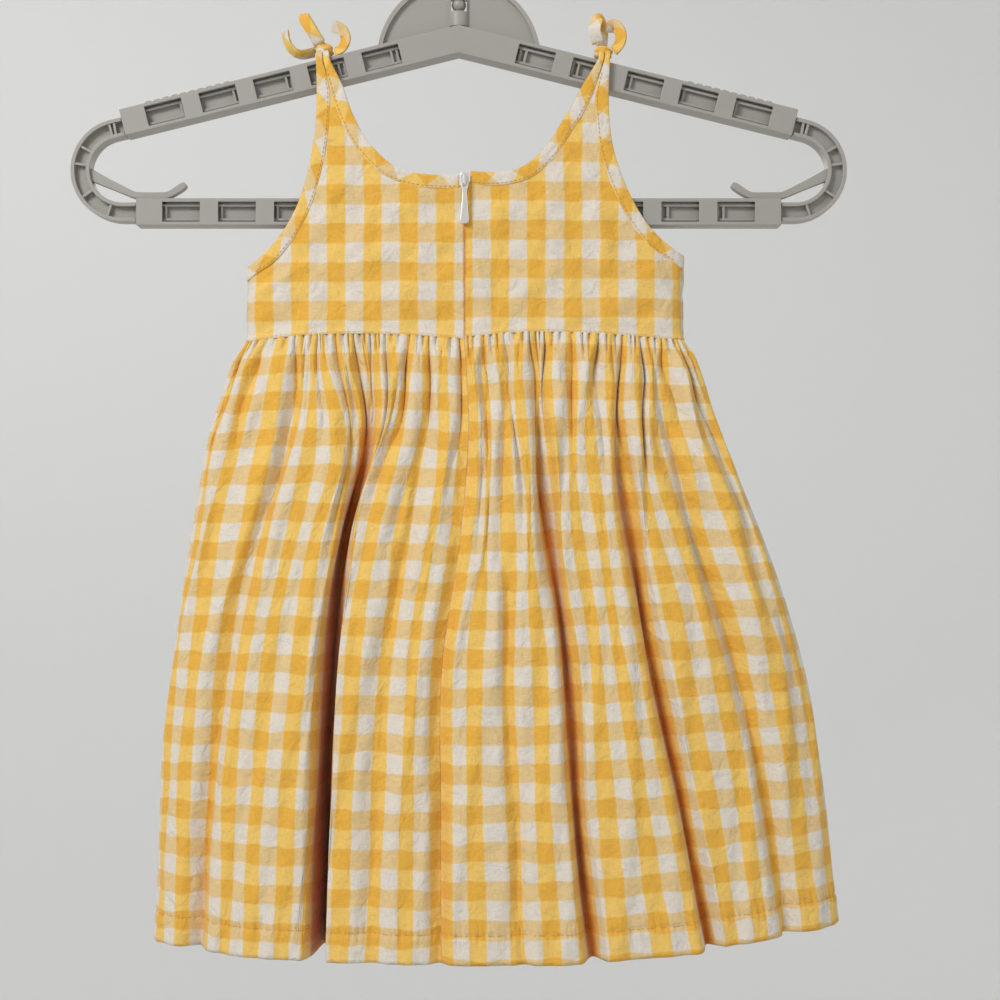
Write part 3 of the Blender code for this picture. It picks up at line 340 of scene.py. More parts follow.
def ridge(phase):
    """A wave with round tops and narrow bottoms, from -1 to 1."""
    return 2 * np.abs(np.sin(phase / 2)) ** 0.8 - 1


SWINGS = ((1.0, 37.0, 1.0), (0.7, 83.0, 2.3), (0.5, 151.0, 4.1))


def uneven(share, seed):
    """A slow uneven swing between -1 and 1 along the cloth, from three waves."""
    waves = [height * np.sin(share * rate + shift * seed) for height, rate, shift in SWINGS]
    return sum(waves) / sum(height for height, _, _ in SWINGS)


hand = np.random.default_rng(11)
broad_heights = hand.uniform(0.25, 1.2, BROAD_PUCKERS + 2)
broad_ends = hand.uniform(75.0, 330.0, BROAD_PUCKERS + 2)
middle_heights = hand.uniform(0.1, 1.4, 2 * BROAD_PUCKERS + 4)
middle_ends = hand.uniform(12.0, 48.0, 2 * BROAD_PUCKERS + 4)
fine_heights = hand.uniform(0.5, 1.3, 3 * BROAD_PUCKERS + 6)
fine_ends = hand.uniform(6.0, 20.0, 3 * BROAD_PUCKERS + 6)


def row_of(turns, values):
    """Read one value for each crest, blended between neighbours."""
    return np.interp(turns - 0.5, np.arange(len(values)), values)


def pucker_turns(share, drop):
    """How many broad puckers lie before a place; they bunch, sway and slant a little."""
    sway = 1.3 * np.sin(19.0 * share) + 2.0 * uneven(share, 1.0) * smooth_step(0.0, 60.0, drop)
    slant = (0.13 * np.sin(86.0 * share + drop / 17.0)
             + 0.07 * np.sin(145.0 * share - drop / 11.0 + 2.0)) * smooth_step(1.0, 30.0, drop)
    return BROAD_PUCKERS * share + sway / (2 * np.pi) + slant + PUCKER_PHASE


def faded(start, drop, ends):
    """1 down to a share of each pucker's length, and 0 at its end."""
    return 1 - smooth_step(start, 1.0, drop / ends)


def puckers(cloth, drop):
    """How far the gathers lift the cloth: fine at the seam, broader below."""
    share = cloth / CLOTH_ACROSS
    turns = pucker_turns(share, drop)
    double = 2 * turns + DOUBLE_DRIFT * uneven(share * 1.7, 5.0)
    triple = 3 * turns + TRIPLE_DRIFT * uneven(share * 2.1, 5.0)
    fine = FINE_HEIGHT * ridge(2 * np.pi * triple) * row_of(triple, fine_heights)
    fine *= faded(0.3, drop, row_of(triple, fine_ends))
    middle = MIDDLE_HEIGHT * ridge(2 * np.pi * double) * row_of(double, middle_heights)
    middle *= smooth_step(*MIDDLE_START, drop)
    middle *= faded(0.3, drop, row_of(double, middle_ends))
    rounding = smooth_step(*ROUNDED_FROM, drop)
    wave = -np.cos(2 * np.pi * turns) * rounding + ridge(2 * np.pi * turns) * (1 - rounding)
    broad = BROAD_HEIGHT * wave * row_of(turns, broad_heights)
    broad *= smooth_step(*BROAD_START, drop) * (1 - ROUNDED_LOSS * rounding)
    broad *= faded(0.25, drop, row_of(turns, broad_ends))
    swell = LONG_HEIGHT * uneven(share * 1.9 + drop * 0.0006, 8.0)
    swell *= smooth_step(*LONG_START, drop)
    hem_top = SKIRT_DROP - HEM_DEPTH
    hem_turns = 2 * np.pi * HEM_PUCKERS * share + 5 * uneven(share * 2.0, 9.0)
    crimp = HEM_CRIMP * ridge(hem_turns) * np.exp(-((drop - hem_top) / HEM_CRIMP_REACH) ** 2)
    groove = -HEM_GROOVE * np.exp(-((drop - hem_top) / HEM_GROOVE_REACH) ** 2)
    below = HEM_STEP * smooth_step(hem_top, hem_top + 2.0, drop)
    ends = smooth_step(0.0, SEAM_CALM, cloth) * smooth_step(0.0, SEAM_CALM, CLOTH_ACROSS - cloth)
    return (fine + middle + broad + swell + crimp) * ends + groove + below


def wandered(cloth, drop):
    """How far each fold of the cloth strays sideways from a straight fall."""
    share = cloth / CLOTH_ACROSS
    seams = np.minimum(np.minimum(cloth, CLOTH_ACROSS - cloth), np.abs(cloth - MIDDLE_SEAM))
    stray = WANDER * np.sin(28 * np.pi * share + drop / 19.0 + 0.6 * uneven(share, 3.0))
    stray *= smooth_step(0.0, 30.0, seams) * smooth_step(2.0, 25.0, drop)
    return stray * (1 - 0.7 * smooth_step(60.0, 200.0, drop))


def skirt_line(folds, cloth, drop, sink=0.0, swing=1.0):
    """Plan x and y of one face at a drop, y measured out from the hanger, and its painted fold
    shade.
    """
    left, right, half_depth = skirt_size(max(drop, 0.0))
    places, turns, depths, leans = fold_stations(folds, max(drop, 0.0))
    index = np.clip(np.searchsorted(places, cloth, side="right") - 1, 0, len(places) - 2)
    share = (cloth - places[index]) / (places[index + 1] - places[index])
    span = turns[index + 1] - turns[index]
    falling = depths[index + 1] > depths[index]
    flank = depths[index + 1] != depths[index]
    lean = np.where(falling, leans[index + 1], -leans[index])
    crest = FOLD_CREST - lean * smooth_step(*LEAN_START, drop)
    near = np.where(flank, np.where(falling, crest, FOLD_BOTTOM), 1 / 3)
    far = np.where(flank, np.where(falling, FOLD_BOTTOM, crest), 1 / 3)
    rest = 1 - share
    turn = turns[index] + span * (3 * near * rest ** 2 * share
                                  + 3 * (1 - far) * rest * share ** 2 + share ** 3)
    depth = depths[index] + (depths[index + 1] - depths[index]) * share ** 2 * (3 - 2 * share)
    x, y = lens_points(left, right, half_depth, turn)
    before = lens_points(left, right, half_depth, np.maximum(turn - 0.01, 0.0))
    beyond = lens_points(left, right, half_depth, np.minimum(turn + 0.01, np.pi))
    along = np.array([beyond[0] - before[0], beyond[1] - before[1]])
    along /= np.hypot(*along)
    lift = puckers(cloth, max(drop, 0.0)) * swing - depth - sink
    aside = wandered(cloth, drop)
    return (x + along[0] * aside - along[1] * lift, y + along[1] * aside + along[0] * lift,
            smooth_step(*SHADED_DEPTHS, depth))


def waist_height(face, side, x):
    side_x = SIDE_LEFT if side == "left" else SIDE_RIGHT
    share = np.clip((x - side_x) / (CENTRE_BACK - side_x), 0.0, 1.0)
    return WAIST_Z + curve_at(WAIST_SHARES, WAIST_RISE[face + "_" + side], share)


def waist_top(face, left, x):
    """Heights of the waist seam, by each point's own side of the centre seam."""
    return np.where(left, waist_height(face, "left", x), waist_height(face, "right", x))


def skirt_ends(face, cloth):
    """Heights of the skirt's waist and hem at places along a panel's cloth."""
    left = (cloth < MIDDLE_SEAM) | (cloth[-1] <= MIDDLE_SEAM)
    top = waist_top(face, left, skirt_line(FOLDS[face], cloth, 0.0)[0])
    low = WAIST_Z - SKIRT_DROP + curve_at(HEM_SHARES, HEM_RISE, cloth / CLOTH_ACROSS)
    return top, low


def new_piece(name, mesh, finish=None):
    """Put a mesh into the scene as a piece, in a finish where one is given."""
    if finish:
        mesh.materials.append(finish)
    piece = bpy.data.objects.new(name, mesh)
    bpy.context.collection.objects.link(piece)
    return piece


def cloth_sheet(name, points, places, outward):
    """A thin closed shell round a grid of points, with its cloth places as UV."""
    rows, columns = points.shape[:2]
    corners = np.arange(rows * columns).reshape(rows, columns)
    quads = np.stack([corners[:-1, :-1], corners[:-1, 1:], corners[1:, 1:], corners[1:, :-1]],
                     axis=-1).reshape(-1, 4)
    if outward < 0:
        quads = quads[:, ::-1]
    mesh = bpy.data.meshes.new(name)
    mesh.from_pydata((points.reshape(-1, 3) * MM).tolist(), [], quads.tolist())
    layer = mesh.uv_layers.new(name="cloth")
    layer.data.foreach_set("uv", (places.reshape(-1, 2)[quads.ravel()] * MM).ravel())
    mesh.polygons.foreach_set("use_smooth", np.ones(len(quads), bool))
    sheet = new_piece(name, mesh, gingham)
    wall = sheet.modifiers.new("wall", "SOLIDIFY")
    wall.thickness = CLOTH_THICKNESS * MM
    wall.offset = 0.0
    return sheet


def paint_fold_shade(sheet, rows, start, end):
    """Store each point's painted shade, by how deep in a fold it lies, and paint the seams at
    start or end as well.
    """
    edges = (float(start), float(end))
    rows = np.pad(np.array(rows), ((0, 0), (SEAM_COLUMNS, SEAM_COLUMNS)),
                  constant_values=((0.0, 0.0), edges))
    rows[:, [SEAM_COLUMNS, -SEAM_COLUMNS - 1]] = SEAM_SHADE * np.array(edges)
    painted_shade = sheet.data.attributes.new("painted_shade", "FLOAT", "POINT")
    painted_shade.data.foreach_set("value", rows.ravel())


def turned_seam(x, y, places, reach):
    """Add columns at both ends of a row, where the cloth turns into the dress at a seam."""
    row = np.array([x, y, places])
    flaps = []
    for side, end, inner in ((-1, 0, 4), (1, -1, -5)):
        along = row[:2, inner] - row[:2, end]
        along /= np.hypot(*along)
        steps = np.array(SEAM_STEPS[::-side]) * reach
        fold_x, fold_y = row[:2, end] + along * SEAM_CURL
        flaps.append([fold_x - along[1] * side * steps, fold_y + along[0] * side * steps,
                      row[2, end] + side * steps])
    return np.concatenate((flaps[0], row, flaps[1]), axis=1)


Panel = namedtuple("Panel", "node face start end columns drops row_shift column_shift")
# Rows above the seam line and under the hem: drop, how far they sink, share of pucker.
TOP_TURN = ((-3.0, 1.3, 0.3), (-1.2, 1.2, 0.5))
HEM_TURN = ((SKIRT_DROP - 0.2, 1.0, 1.0), (SKIRT_DROP - 7.0, 1.05, 1.0),
            (SKIRT_DROP - HEM_DEPTH + 1.0, 1.05, 1.0))


def skirt_sheet(panel):
    """One gathered panel, with its seam allowances turned in and its hem turned up."""
    facing = FACING[panel.face]
    cloth = np.linspace(panel.start, panel.end, panel.columns)
    courses = [*TOP_TURN, *[(drop, 0.0, 1.0) for drop in (*panel.drops, SKIRT_DROP)], *HEM_TURN]
    top, low = skirt_ends(panel.face, cloth)
    points = []
    places = []
    shades = []
    for at, (drop, sink, swing) in enumerate(courses):
        x, y, shade = skirt_line(FOLDS[panel.face], cloth, drop, sink, swing)
        z = np.pad(top + (low - top) * drop / SKIRT_DROP, SEAM_COLUMNS, mode="edge")
        under = at >= len(courses) - len(HEM_TURN)
        place = 2 * SKIRT_DROP - drop if under else drop
        sway = uneven(cloth / CLOTH_ACROSS * 1.6 + drop * 0.002, 4.0)
        sway *= ROW_SWAY * smooth_step(3.0, 60.0, drop)
        place = place + np.pad(sway, SEAM_COLUMNS, mode="edge")
        x, y, row_cloth = turned_seam(x, y, cloth, SEAM_FLAP)
        shades.append(shade)
        points.append(np.stack([x, facing * y, z], axis=-1))
        places.append(np.stack([row_cloth + panel.column_shift, place + panel.row_shift],
                               axis=-1))
    sheet = cloth_sheet(panel.node + "_cloth", np.array(points), np.array(places), -facing)
    # Painted shade deep in the folds, and along the centre back seam.
    paint_fold_shade(sheet, shades, panel.start > 0.0, panel.end < CLOTH_ACROSS)
    return sheet


BACK_DROPS = np.concatenate((np.arange(0.0, 20.0, 1.0), np.arange(20.0, 70.0, 2.5),
                             np.arange(70.0, 318.0, 5.5), np.arange(318.0, 336.0, 1.2)))
FRONT_DROPS = np.concatenate((np.arange(0.0, 20.0, 1.6), np.arange(20.0, 70.0, 4.0),
                              np.arange(70.0, 318.0, 8.0), np.arange(318.0, 336.0, 1.8)))
SKIRT_PANELS = (
    Panel("skirt_back_left", "back", 0.0, MIDDLE_SEAM, 380, BACK_DROPS, 15.0, -28.7),
    Panel("skirt_back_right", "back", MIDDLE_SEAM, CLOTH_ACROSS, 380, BACK_DROPS, 19.5, -38.5),
    Panel("skirt_front", "front", 0.0, CLOTH_ACROSS, 520, FRONT_DROPS, 17.0, -28.7),
)
for panel in SKIRT_PANELS:
    sheet = skirt_sheet(panel)
    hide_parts(panel.node)
    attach(sheet, "dress")

# The waist is topstitched in cream thread, the hem and bound edges in amber. Each
# stitch is a short raised bead laid along its seam line, a hair into the cloth.
STITCH_PITCH = 2.7
STITCH_LENGTH = 2.1
THREAD_RADIUS = 0.24
HEM_STITCH_LIFT = 0.28
HEM_LINE_POINTS = 900
SEAM_MARGIN = 1.0


def plain_finish(name, colour, roughness, metallic=0.0):
    finish, _, shader = new_finish(name, roughness, metallic)
    shader.inputs["Base Color"].default_value = (*colour, 1.0)
    return finish


cream_thread = plain_finish("cream_thread", (0.86, 0.70, 0.48), 0.6)
amber_thread = plain_finish("amber_thread", (0.60, 0.30, 0.08), 0.6)


def tree_socket(tree, name, kind, direction, value=None):
    made = tree.interface.new_socket(name=name, in_out=direction, socket_type=kind)
    if value is not None:
        made.default_value = value
    return made.identifier


def stitch_tree():
    """Sets stitches along a line of edges, each turned the way the line runs."""
    tree = bpy.data.node_groups.new("topstitching", "GeometryNodeTree")
    tree_socket(tree, "Seam", "NodeSocketGeometry", "INPUT")
    sockets = {label: tree_socket(tree, label, "NodeSocketFloat", "INPUT", value * MM)
               for label, value in (("Pitch", STITCH_PITCH), ("Stitch length", STITCH_LENGTH),
                                    ("Thread radius", THREAD_RADIUS))}
    sockets["Thread"] = tree_socket(tree, "Thread", "NodeSocketMaterial", "INPUT")
    tree_socket(tree, "Stitches", "NodeSocketGeometry", "OUTPUT")
    given = tree.nodes.new("NodeGroupInput").outputs
    line = add_node(tree, "GeometryNodeMeshToCurve", (("Mesh", given["Seam"]),))
    spaced = add_node(tree, "GeometryNodeResampleCurve",
                      (("Curve", line.outputs[0]), ("Length", given["Pitch"])), mode="LENGTH")
    course = tree.nodes.new("GeometryNodeInputTangent")
    turned = add_node(tree, "FunctionNodeAlignRotationToVector",
                      (("Vector", course.outputs[0]),), axis="X")
    half = add_node(tree, "ShaderNodeMath", ((0, given["Stitch length"]), (1, 0.5)),
                    operation="MULTIPLY")
    size = add_node(tree, "ShaderNodeCombineXYZ",
                    ((0, half.outputs[0]), (1, given["Thread radius"]),
                     (2, given["Thread radius"])))
    bead = add_node(tree, "GeometryNodeMeshIcoSphere", (("Radius", 1.0), ("Subdivisions", 1)))
    placed = add_node(tree, "GeometryNodeInstanceOnPoints",
                      (("Points", spaced.outputs[0]), ("Instance", bead.outputs[0]),
                       ("Rotation", turned.outputs[0]), ("Scale", size.outputs[0])))
    real = add_node(tree, "GeometryNodeRealizeInstances", (("Geometry", placed.outputs[0]),))
    coloured = add_node(tree, "GeometryNodeSetMaterial",
                        (("Geometry", real.outputs[0]), ("Material", given["Thread"])))
    tree.links.new(coloured.outputs[0], tree.nodes.new("NodeGroupOutput").inputs["Stitches"])
    return tree, sockets


stitching, stitch_sockets = stitch_tree()


def settled(piece, finish=None):
    """Turn a piece and its live modifiers into one plain mesh."""
    graph = bpy.context.evaluated_depsgraph_get()
    mesh = bpy.data.meshes.new_from_object(piece.evaluated_get(graph), depsgraph=graph)
    piece.modifiers.clear()
    piece.data = mesh
    if finish:
        mesh.materials.clear()
        mesh.materials.append(finish)
    return piece


def topstitch(name, seams, thread, pitch=STITCH_PITCH):
    """One row of stitches for each line of points, all in one object."""
    mesh = bpy.data.meshes.new(name)
    points = [tuple(value * MM for value in point) for seam in seams for point in seam]
    edges = []
    start = 0
    for seam in seams:
        edges += [(start + at, start + at + 1) for at in range(len(seam) - 1)]
        start += len(seam)
    mesh.from_pydata(points, edges, [])
    row = new_piece(name, mesh)
    sewing = row.modifiers.new("topstitching", "NODES")
    sewing.node_group = stitching
    sewing[stitch_sockets["Thread"]] = thread
    sewing[stitch_sockets["Pitch"]] = pitch * MM
    settled(row)
    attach(row, "dress")
    return row


def hem_line(panel):
    """The hem's seam line over the outside of one skirt panel."""
    cloth = np.linspace(panel.start + SEAM_MARGIN, panel.end - SEAM_MARGIN, HEM_LINE_POINTS)
    drop = SKIRT_DROP - HEM_DEPTH
    x, y, _ = skirt_line(FOLDS[panel.face], cloth, drop, -HEM_STITCH_LIFT)
    top, low = skirt_ends(panel.face, cloth)
    z = top + (low - top) * drop / SKIRT_DROP
    return np.stack([x, FACING[panel.face] * y, z], axis=-1).tolist()


topstitch("hem_stitches", [hem_line(panel) for panel in SKIRT_PANELS], amber_thread)

# The bodice is two back pieces that meet at the zip and one front piece, all of
# the same gingham, cut straight. Their upper edges run up into narrow straps.
UNDERARM_LEFT_Z = -218.4
UNDERARM_RIGHT_Z = -211.9
UNDERARM_INSETS = (0.0, 0.5, 2.4)
UNDERARM_SLOPE = 0.5
FRONT_NECK_LOW = -180.5
ARM_SHARE = 0.47
SHARE_GAP = 0.01
SHOULDER_Z = -104.0
CLOTH_TOP_Z = SHOULDER_Z - 6.0
KNOT_Z = -99.3
KNOT_DEPTH = 7.6
BINDING_WIDTH = 7.5
TUCK = 1.6
SEAM_WELT = 0.7
BODICE_FLAP = 4.0
BODICE_RISES = (0.0, 0.006, 0.014, 0.025, *np.linspace(0.04, 1.0, 56))
BACK_COLUMNS = 110
FRONT_COLUMNS = 100
EDGE_POINTS = 110

NECK_LEFT = (
    (-72.2, -99.3, 3.2), (-71.7, -101.6, 3.4), (-71.4, -104.0, 3.6), (-63.9, -119.2, 7.3),
    (-58.9, -133.6, 7.5), (-51.2, -148.0, 7.5), (-39.6, -160.6, 7.5), (-32.0, -164.8, 7.5),
    (-23.5, -167.4, 7.5), (-10.2, -168.5, 7.5), (0.4, -168.5, 7.5),
)
NECK_RIGHT = (
    (78.0, -99.3, 2.8), (77.7, -101.6, 2.9), (77.4, -104.0, 3.0), (68.4, -119.2, 7.1),
    (62.3, -130.9, 7.5), (55.9, -141.0, 7.5), (50.4, -150.0, 7.5), (43.0, -158.4, 7.5),
    (34.0, -164.4, 7.5), (22.0, -166.8, 7.5), (6.6, -166.4, 7.5),
)
ARMHOLE_LEFT = (
    (-79.2, -99.3, 3.2), (-79.1, -101.6, 3.4), (-79.0, -104.0, 3.6), (-78.6, -121.5, 7.2),
    (-79.0, -135.3, 7.5), (-80.6, -150.8, 7.5), (-83.8, -166.8, 7.5), (-88.5, -182.0, 7.5),
    (-95.0, -195.0, 7.5), (-104.0, -207.0, 7.5), (-112.5, -214.6, 7.5),
)
ARMHOLE_RIGHT = (
    (84.3, -99.3, 2.8), (84.1, -101.6, 2.9), (84.0, -104.0, 3.0), (83.3, -121.5, 7.2),
    (83.6, -135.3, 7.5), (85.4, -151.0, 7.5), (89.6, -165.5, 7.5), (95.8, -180.0, 7.5),
    (102.8, -192.0, 7.5), (111.0, -201.6, 7.5), (119.0, -208.0, 7.5),
)


def resampled(points, count):
    """A smooth line through rows of numbers, at places evenly spread along it."""
    points = np.asarray(points, float)
    steps = np.hypot(*(np.diff(points[:, :2], axis=0).T))
    lengths = np.concatenate(([0.0], np.cumsum(np.maximum(steps, 1e-3))))
    places = np.linspace(0.0, lengths[-1], count)
    return np.stack([curve_at(lengths, points[:, at], places)
                     for at in range(points.shape[1])], axis=-1)


def unit_steps(line):
    """The way a line runs at each of its points, in steps of length 1."""
    along = np.gradient(line, axis=0)
    return along / np.linalg.norm(along, axis=1)[:, None]


def inner_edge(edge, side, extra=0.0):
    """The line one binding width inside an edge; side +1 lies to the right going down."""
    fine = resampled(edge, EDGE_POINTS)
    along = unit_steps(fine[:, :2])
    across = np.stack([-along[:, 1], along[:, 0]], axis=-1) * side
    blend = smooth_step(0.93, 1.0, np.linspace(0.0, 1.0, EDGE_POINTS))[:, None]
    across = across * (1 - blend) + np.array([[0.0, -1.0]]) * blend
    across /= np.linalg.norm(across, axis=1)[:, None]
    return fine[:, :2] + across * (fine[:, 2:] + extra)


def lowered(edge):
    """The neck edge of the front, which dips lower than the one of the back."""
    scale = (FRONT_NECK_LOW - SHOULDER_Z) / (edge[-1][1] - SHOULDER_Z)
    return [(x, SHOULDER_Z + (z - SHOULDER_Z) * scale if z < SHOULDER_Z else z, width)
            for x, z, width in edge]


def underarm_turn(side, level):
    side_x = SIDE_LEFT if side > 0 else SIDE_RIGHT
    return np.array([(side_x + side * inset, level + UNDERARM_SLOPE * inset)
                     for inset in UNDERARM_INSETS])


def bodice_depth(x):
    turn = lens_turn(SIDE_LEFT, SIDE_RIGHT, np.asarray(x, float))
    return lens_points(SIDE_LEFT, SIDE_RIGHT, BODICE_DEPTH, turn)[1]


def crumple(points, height, scale, seed):
    """Small soft lumps of worn cloth, a height for each point of an array."""
    flat = points.reshape(-1, points.shape[-1])
    lumps = [noise.noise(Vector((x * scale, seed, z * scale)))
             + 0.5 * noise.noise(Vector((x * scale * 2.1, seed + 7, z * scale * 2.1)))
             for x, z in flat[:, (0, -1)]]
    return height * np.array(lumps).reshape(points.shape[:-1])


def half_panel(armhole, neck, underarm_z, face, side, columns):
    """Feet and heads of one half of the bodice, from its side seam to the middle."""
    arm_line = inner_edge(armhole, side, -TUCK)
    neck_line = inner_edge(neck, -side, -TUCK)
    arm_line = arm_line[arm_line[:, 1] < CLOTH_TOP_Z]
    neck_line = neck_line[neck_line[:, 1] < CLOTH_TOP_Z]
    opposite = np.interp(arm_line[:, 1], neck_line[::-1, 1], neck_line[::-1, 0])
    together = (opposite - arm_line[:, 0]) * side < 1.0
    meet = int(np.nonzero(together)[0][-1]) + 1 if together.any() else 0
    apex_z = arm_line[meet, 1]
    arm_line = arm_line[meet:]
    arm_line[:, 0] = side * np.maximum.accumulate(side * arm_line[::-1, 0])[::-1]
    neck_line = neck_line[neck_line[:, 1] < apex_z]
    arm_part = np.concatenate((underarm_turn(side, underarm_z - BINDING_WIDTH + TUCK),
                               arm_line[::-1]))
    neck_part = np.concatenate((neck_line[:-1], [[CENTRE_BACK, neck_line[-1, 1]]]))
    on_arm = int(columns * ARM_SHARE)
    heads = np.concatenate((resampled(arm_part, on_arm), resampled(neck_part, columns - on_arm)))
    shares = np.concatenate((np.linspace(0.0, ARM_SHARE - SHARE_GAP, on_arm),
                             np.linspace(ARM_SHARE + SHARE_GAP, 1.0, columns - on_arm)))
    side_x = SIDE_LEFT if side > 0 else SIDE_RIGHT
    feet_x = side_x + (CENTRE_BACK - side_x) * shares
    feet = np.stack([feet_x, waist_height(face, "left" if side > 0 else "right", feet_x)],
                    axis=-1)
    return feet, heads


def dragged(flat, creases):
    """How far drag lines lift the cloth; each has two ends, a width and a height."""
    drag = np.zeros(len(flat))
    for from_x, from_z, to_x, to_z, width, height in creases:
        run = np.array([to_x - from_x, to_z - from_z])
        reach = np.linalg.norm(run)
        run = run / reach
        offset = flat - np.array([from_x, from_z])
        along = (offset @ run) / reach
        aside = offset @ np.array([-run[1], run[0]])
        drag += (height * np.exp(-(aside / width) ** 2)
                 * smooth_step(-0.1, 0.15, along) * (1 - smooth_step(0.5, 1.0, along)))
    return drag


Cloth = namedtuple("Cloth", "x wide z high seed creases")


def bodice_sheet(name, feet, heads, face, cloth):
    """A panel ruled between its feet and heads, with soft lumps and turned seams."""
    facing = FACING[face]
    points = []
    places = []
    for rise in BODICE_RISES:
        flat = feet + (heads - feet) * rise
        above = flat[:, 1] - feet[:, 1]
        swell = crumple(flat, 1.9, 0.05, cloth.seed) + crumple(flat, 0.45, 0.15, 5.0)
        welt = SEAM_WELT * np.exp(-((above - 1.2) / 1.1) ** 2)
        inside = np.linalg.norm(flat[:, None] - heads[None], axis=2).min(axis=1)
        room = 0.25 + 0.75 * smooth_step(0.0, 14.0, inside)
        soft = (swell + dragged(flat, cloth.creases)) * smooth_step(0.0, 8.0, above)
        lift = soft * room + welt
        slope = (bodice_depth(flat[:, 0] + 0.1) - bodice_depth(flat[:, 0] - 0.1)) / 0.2
        length = np.hypot(1.0, slope)
        x, y, row_x = turned_seam(flat[:, 0] - slope / length * lift,
                                  bodice_depth(flat[:, 0]) + lift / length,
                                  flat[:, 0], BODICE_FLAP)
        z = np.pad(flat[:, 1], SEAM_COLUMNS, mode="edge")
        points.append(np.stack([x, facing * y, z], axis=-1))
        places.append(np.stack([(row_x - cloth.x) * CHECK_PERIOD / cloth.wide,
                                (z - cloth.z) * CHECK_PERIOD / cloth.high], axis=-1))
    sheet = cloth_sheet(name, np.array(points), np.array(places), facing)
    at_zip = np.abs(feet[[0, -1], 0] - CENTRE_BACK) < 1.0
    # Painted shade along the two edges that meet at the zip.
    paint_fold_shade(sheet, np.zeros((len(BODICE_RISES), len(feet))), *at_zip)
    return sheet


LEFT_CLOTH = Cloth(-98.0, 20.16, -254.2, 21.5, 3.0, (
    (-118.0, -236.0, -78.0, -214.0, 3.0, 1.3), (-118.0, -228.0, -86.0, -200.0, 2.6, -0.9),
    (-33.0, -164.0, -16.0, -190.0, 2.4, 0.9), (-22.0, -168.0, -4.0, -186.0, 2.2, -0.8),
    (-60.0, -250.0, -20.0, -226.0, 5.0, 0.7)))
RIGHT_CLOTH = Cloth(12.8, 20.2, -252.5, 21.5, 3.0, (
    (124.0, -232.0, 92.0, -208.0, 2.8, 1.1), (124.0, -222.0, 98.0, -196.0, 2.4, -0.7),
    (9.0, -172.0, 30.0, -196.0, 2.6, 0.9), (60.0, -248.0, 104.0, -238.0, 4.0, 0.8)))
FRONT_CLOTH = Cloth(3.5, 20.3, -253.0, 21.5, 9.0, (
    (-118.0, -234.0, -84.0, -212.0, 3.0, 1.1), (124.0, -230.0, 90.0, -210.0, 3.0, 1.1),
    (-30.0, -186.0, -12.0, -210.0, 3.0, 0.8), (24.0, -184.0, 44.0, -206.0, 2.8, -0.7)))
left_feet, left_heads = half_panel(ARMHOLE_LEFT, NECK_LEFT, UNDERARM_LEFT_Z, "back", 1,
                                   BACK_COLUMNS)
right_feet, right_heads = half_panel(ARMHOLE_RIGHT, NECK_RIGHT, UNDERARM_RIGHT_Z, "back", -1,
                                     BACK_COLUMNS)
bodice_left = bodice_sheet("bodice_back_left_cloth", left_feet, left_heads, "back", LEFT_CLOTH)
bodice_right = bodice_sheet("bodice_back_right_cloth", right_feet[::-1], right_heads[::-1],
                            "back", RIGHT_CLOTH)
left_feet, left_heads = half_panel(ARMHOLE_LEFT, lowered(NECK_LEFT), UNDERARM_LEFT_Z,
                                   "front", 1, FRONT_COLUMNS)
right_feet, right_heads = half_panel(ARMHOLE_RIGHT, lowered(NECK_RIGHT), UNDERARM_RIGHT_Z,
                                     "front", -1, FRONT_COLUMNS)
bodice_front = bodice_sheet("bodice_front_cloth", np.concatenate((left_feet, right_feet[-2::-1])),
                            np.concatenate((left_heads, right_heads[-2::-1])), "front",
                            FRONT_CLOTH)

# Bias strips of the same gingham are folded over every cut edge of the bodice,
# stitched through close to their inner fold, and run on up to the shoulder knots.
BINDING_HALF = 1.05
BINDING_RING = 16
BINDING_PITCH = 1.3
RUCK_HEIGHT = 0.38
RUCK_PITCH = 4.3
STITCH_SHARE = 0.84
STITCH_START = 12
BINDING_STITCH_LIFT = 0.78
CLOSE_PITCH = 2.5
HANGER_SHOULDER_BEND = 1.5


def on_bodice(flat, facing):
    """Points of x and z laid on the bodice's section, bent over the arm at the top."""
    depth = bodice_depth(flat[:, 0])
    over = np.clip((flat[:, 1] - SHOULDER_Z) / (KNOT_Z - SHOULDER_Z), 0.0, 1.0)
    depth = depth + (KNOT_DEPTH - depth) * over ** HANGER_SHOULDER_BEND
    return np.stack([flat[:, 0], facing * depth, flat[:, 1]], axis=-1)


def even_line(points, count):
    lengths = np.concatenate(([0.0], np.cumsum(np.linalg.norm(np.diff(points, axis=0), axis=1))))
    places = np.linspace(0.0, lengths[-1], count)
    return np.stack([np.interp(places, lengths, points[:, at]) for at in range(3)], axis=-1)


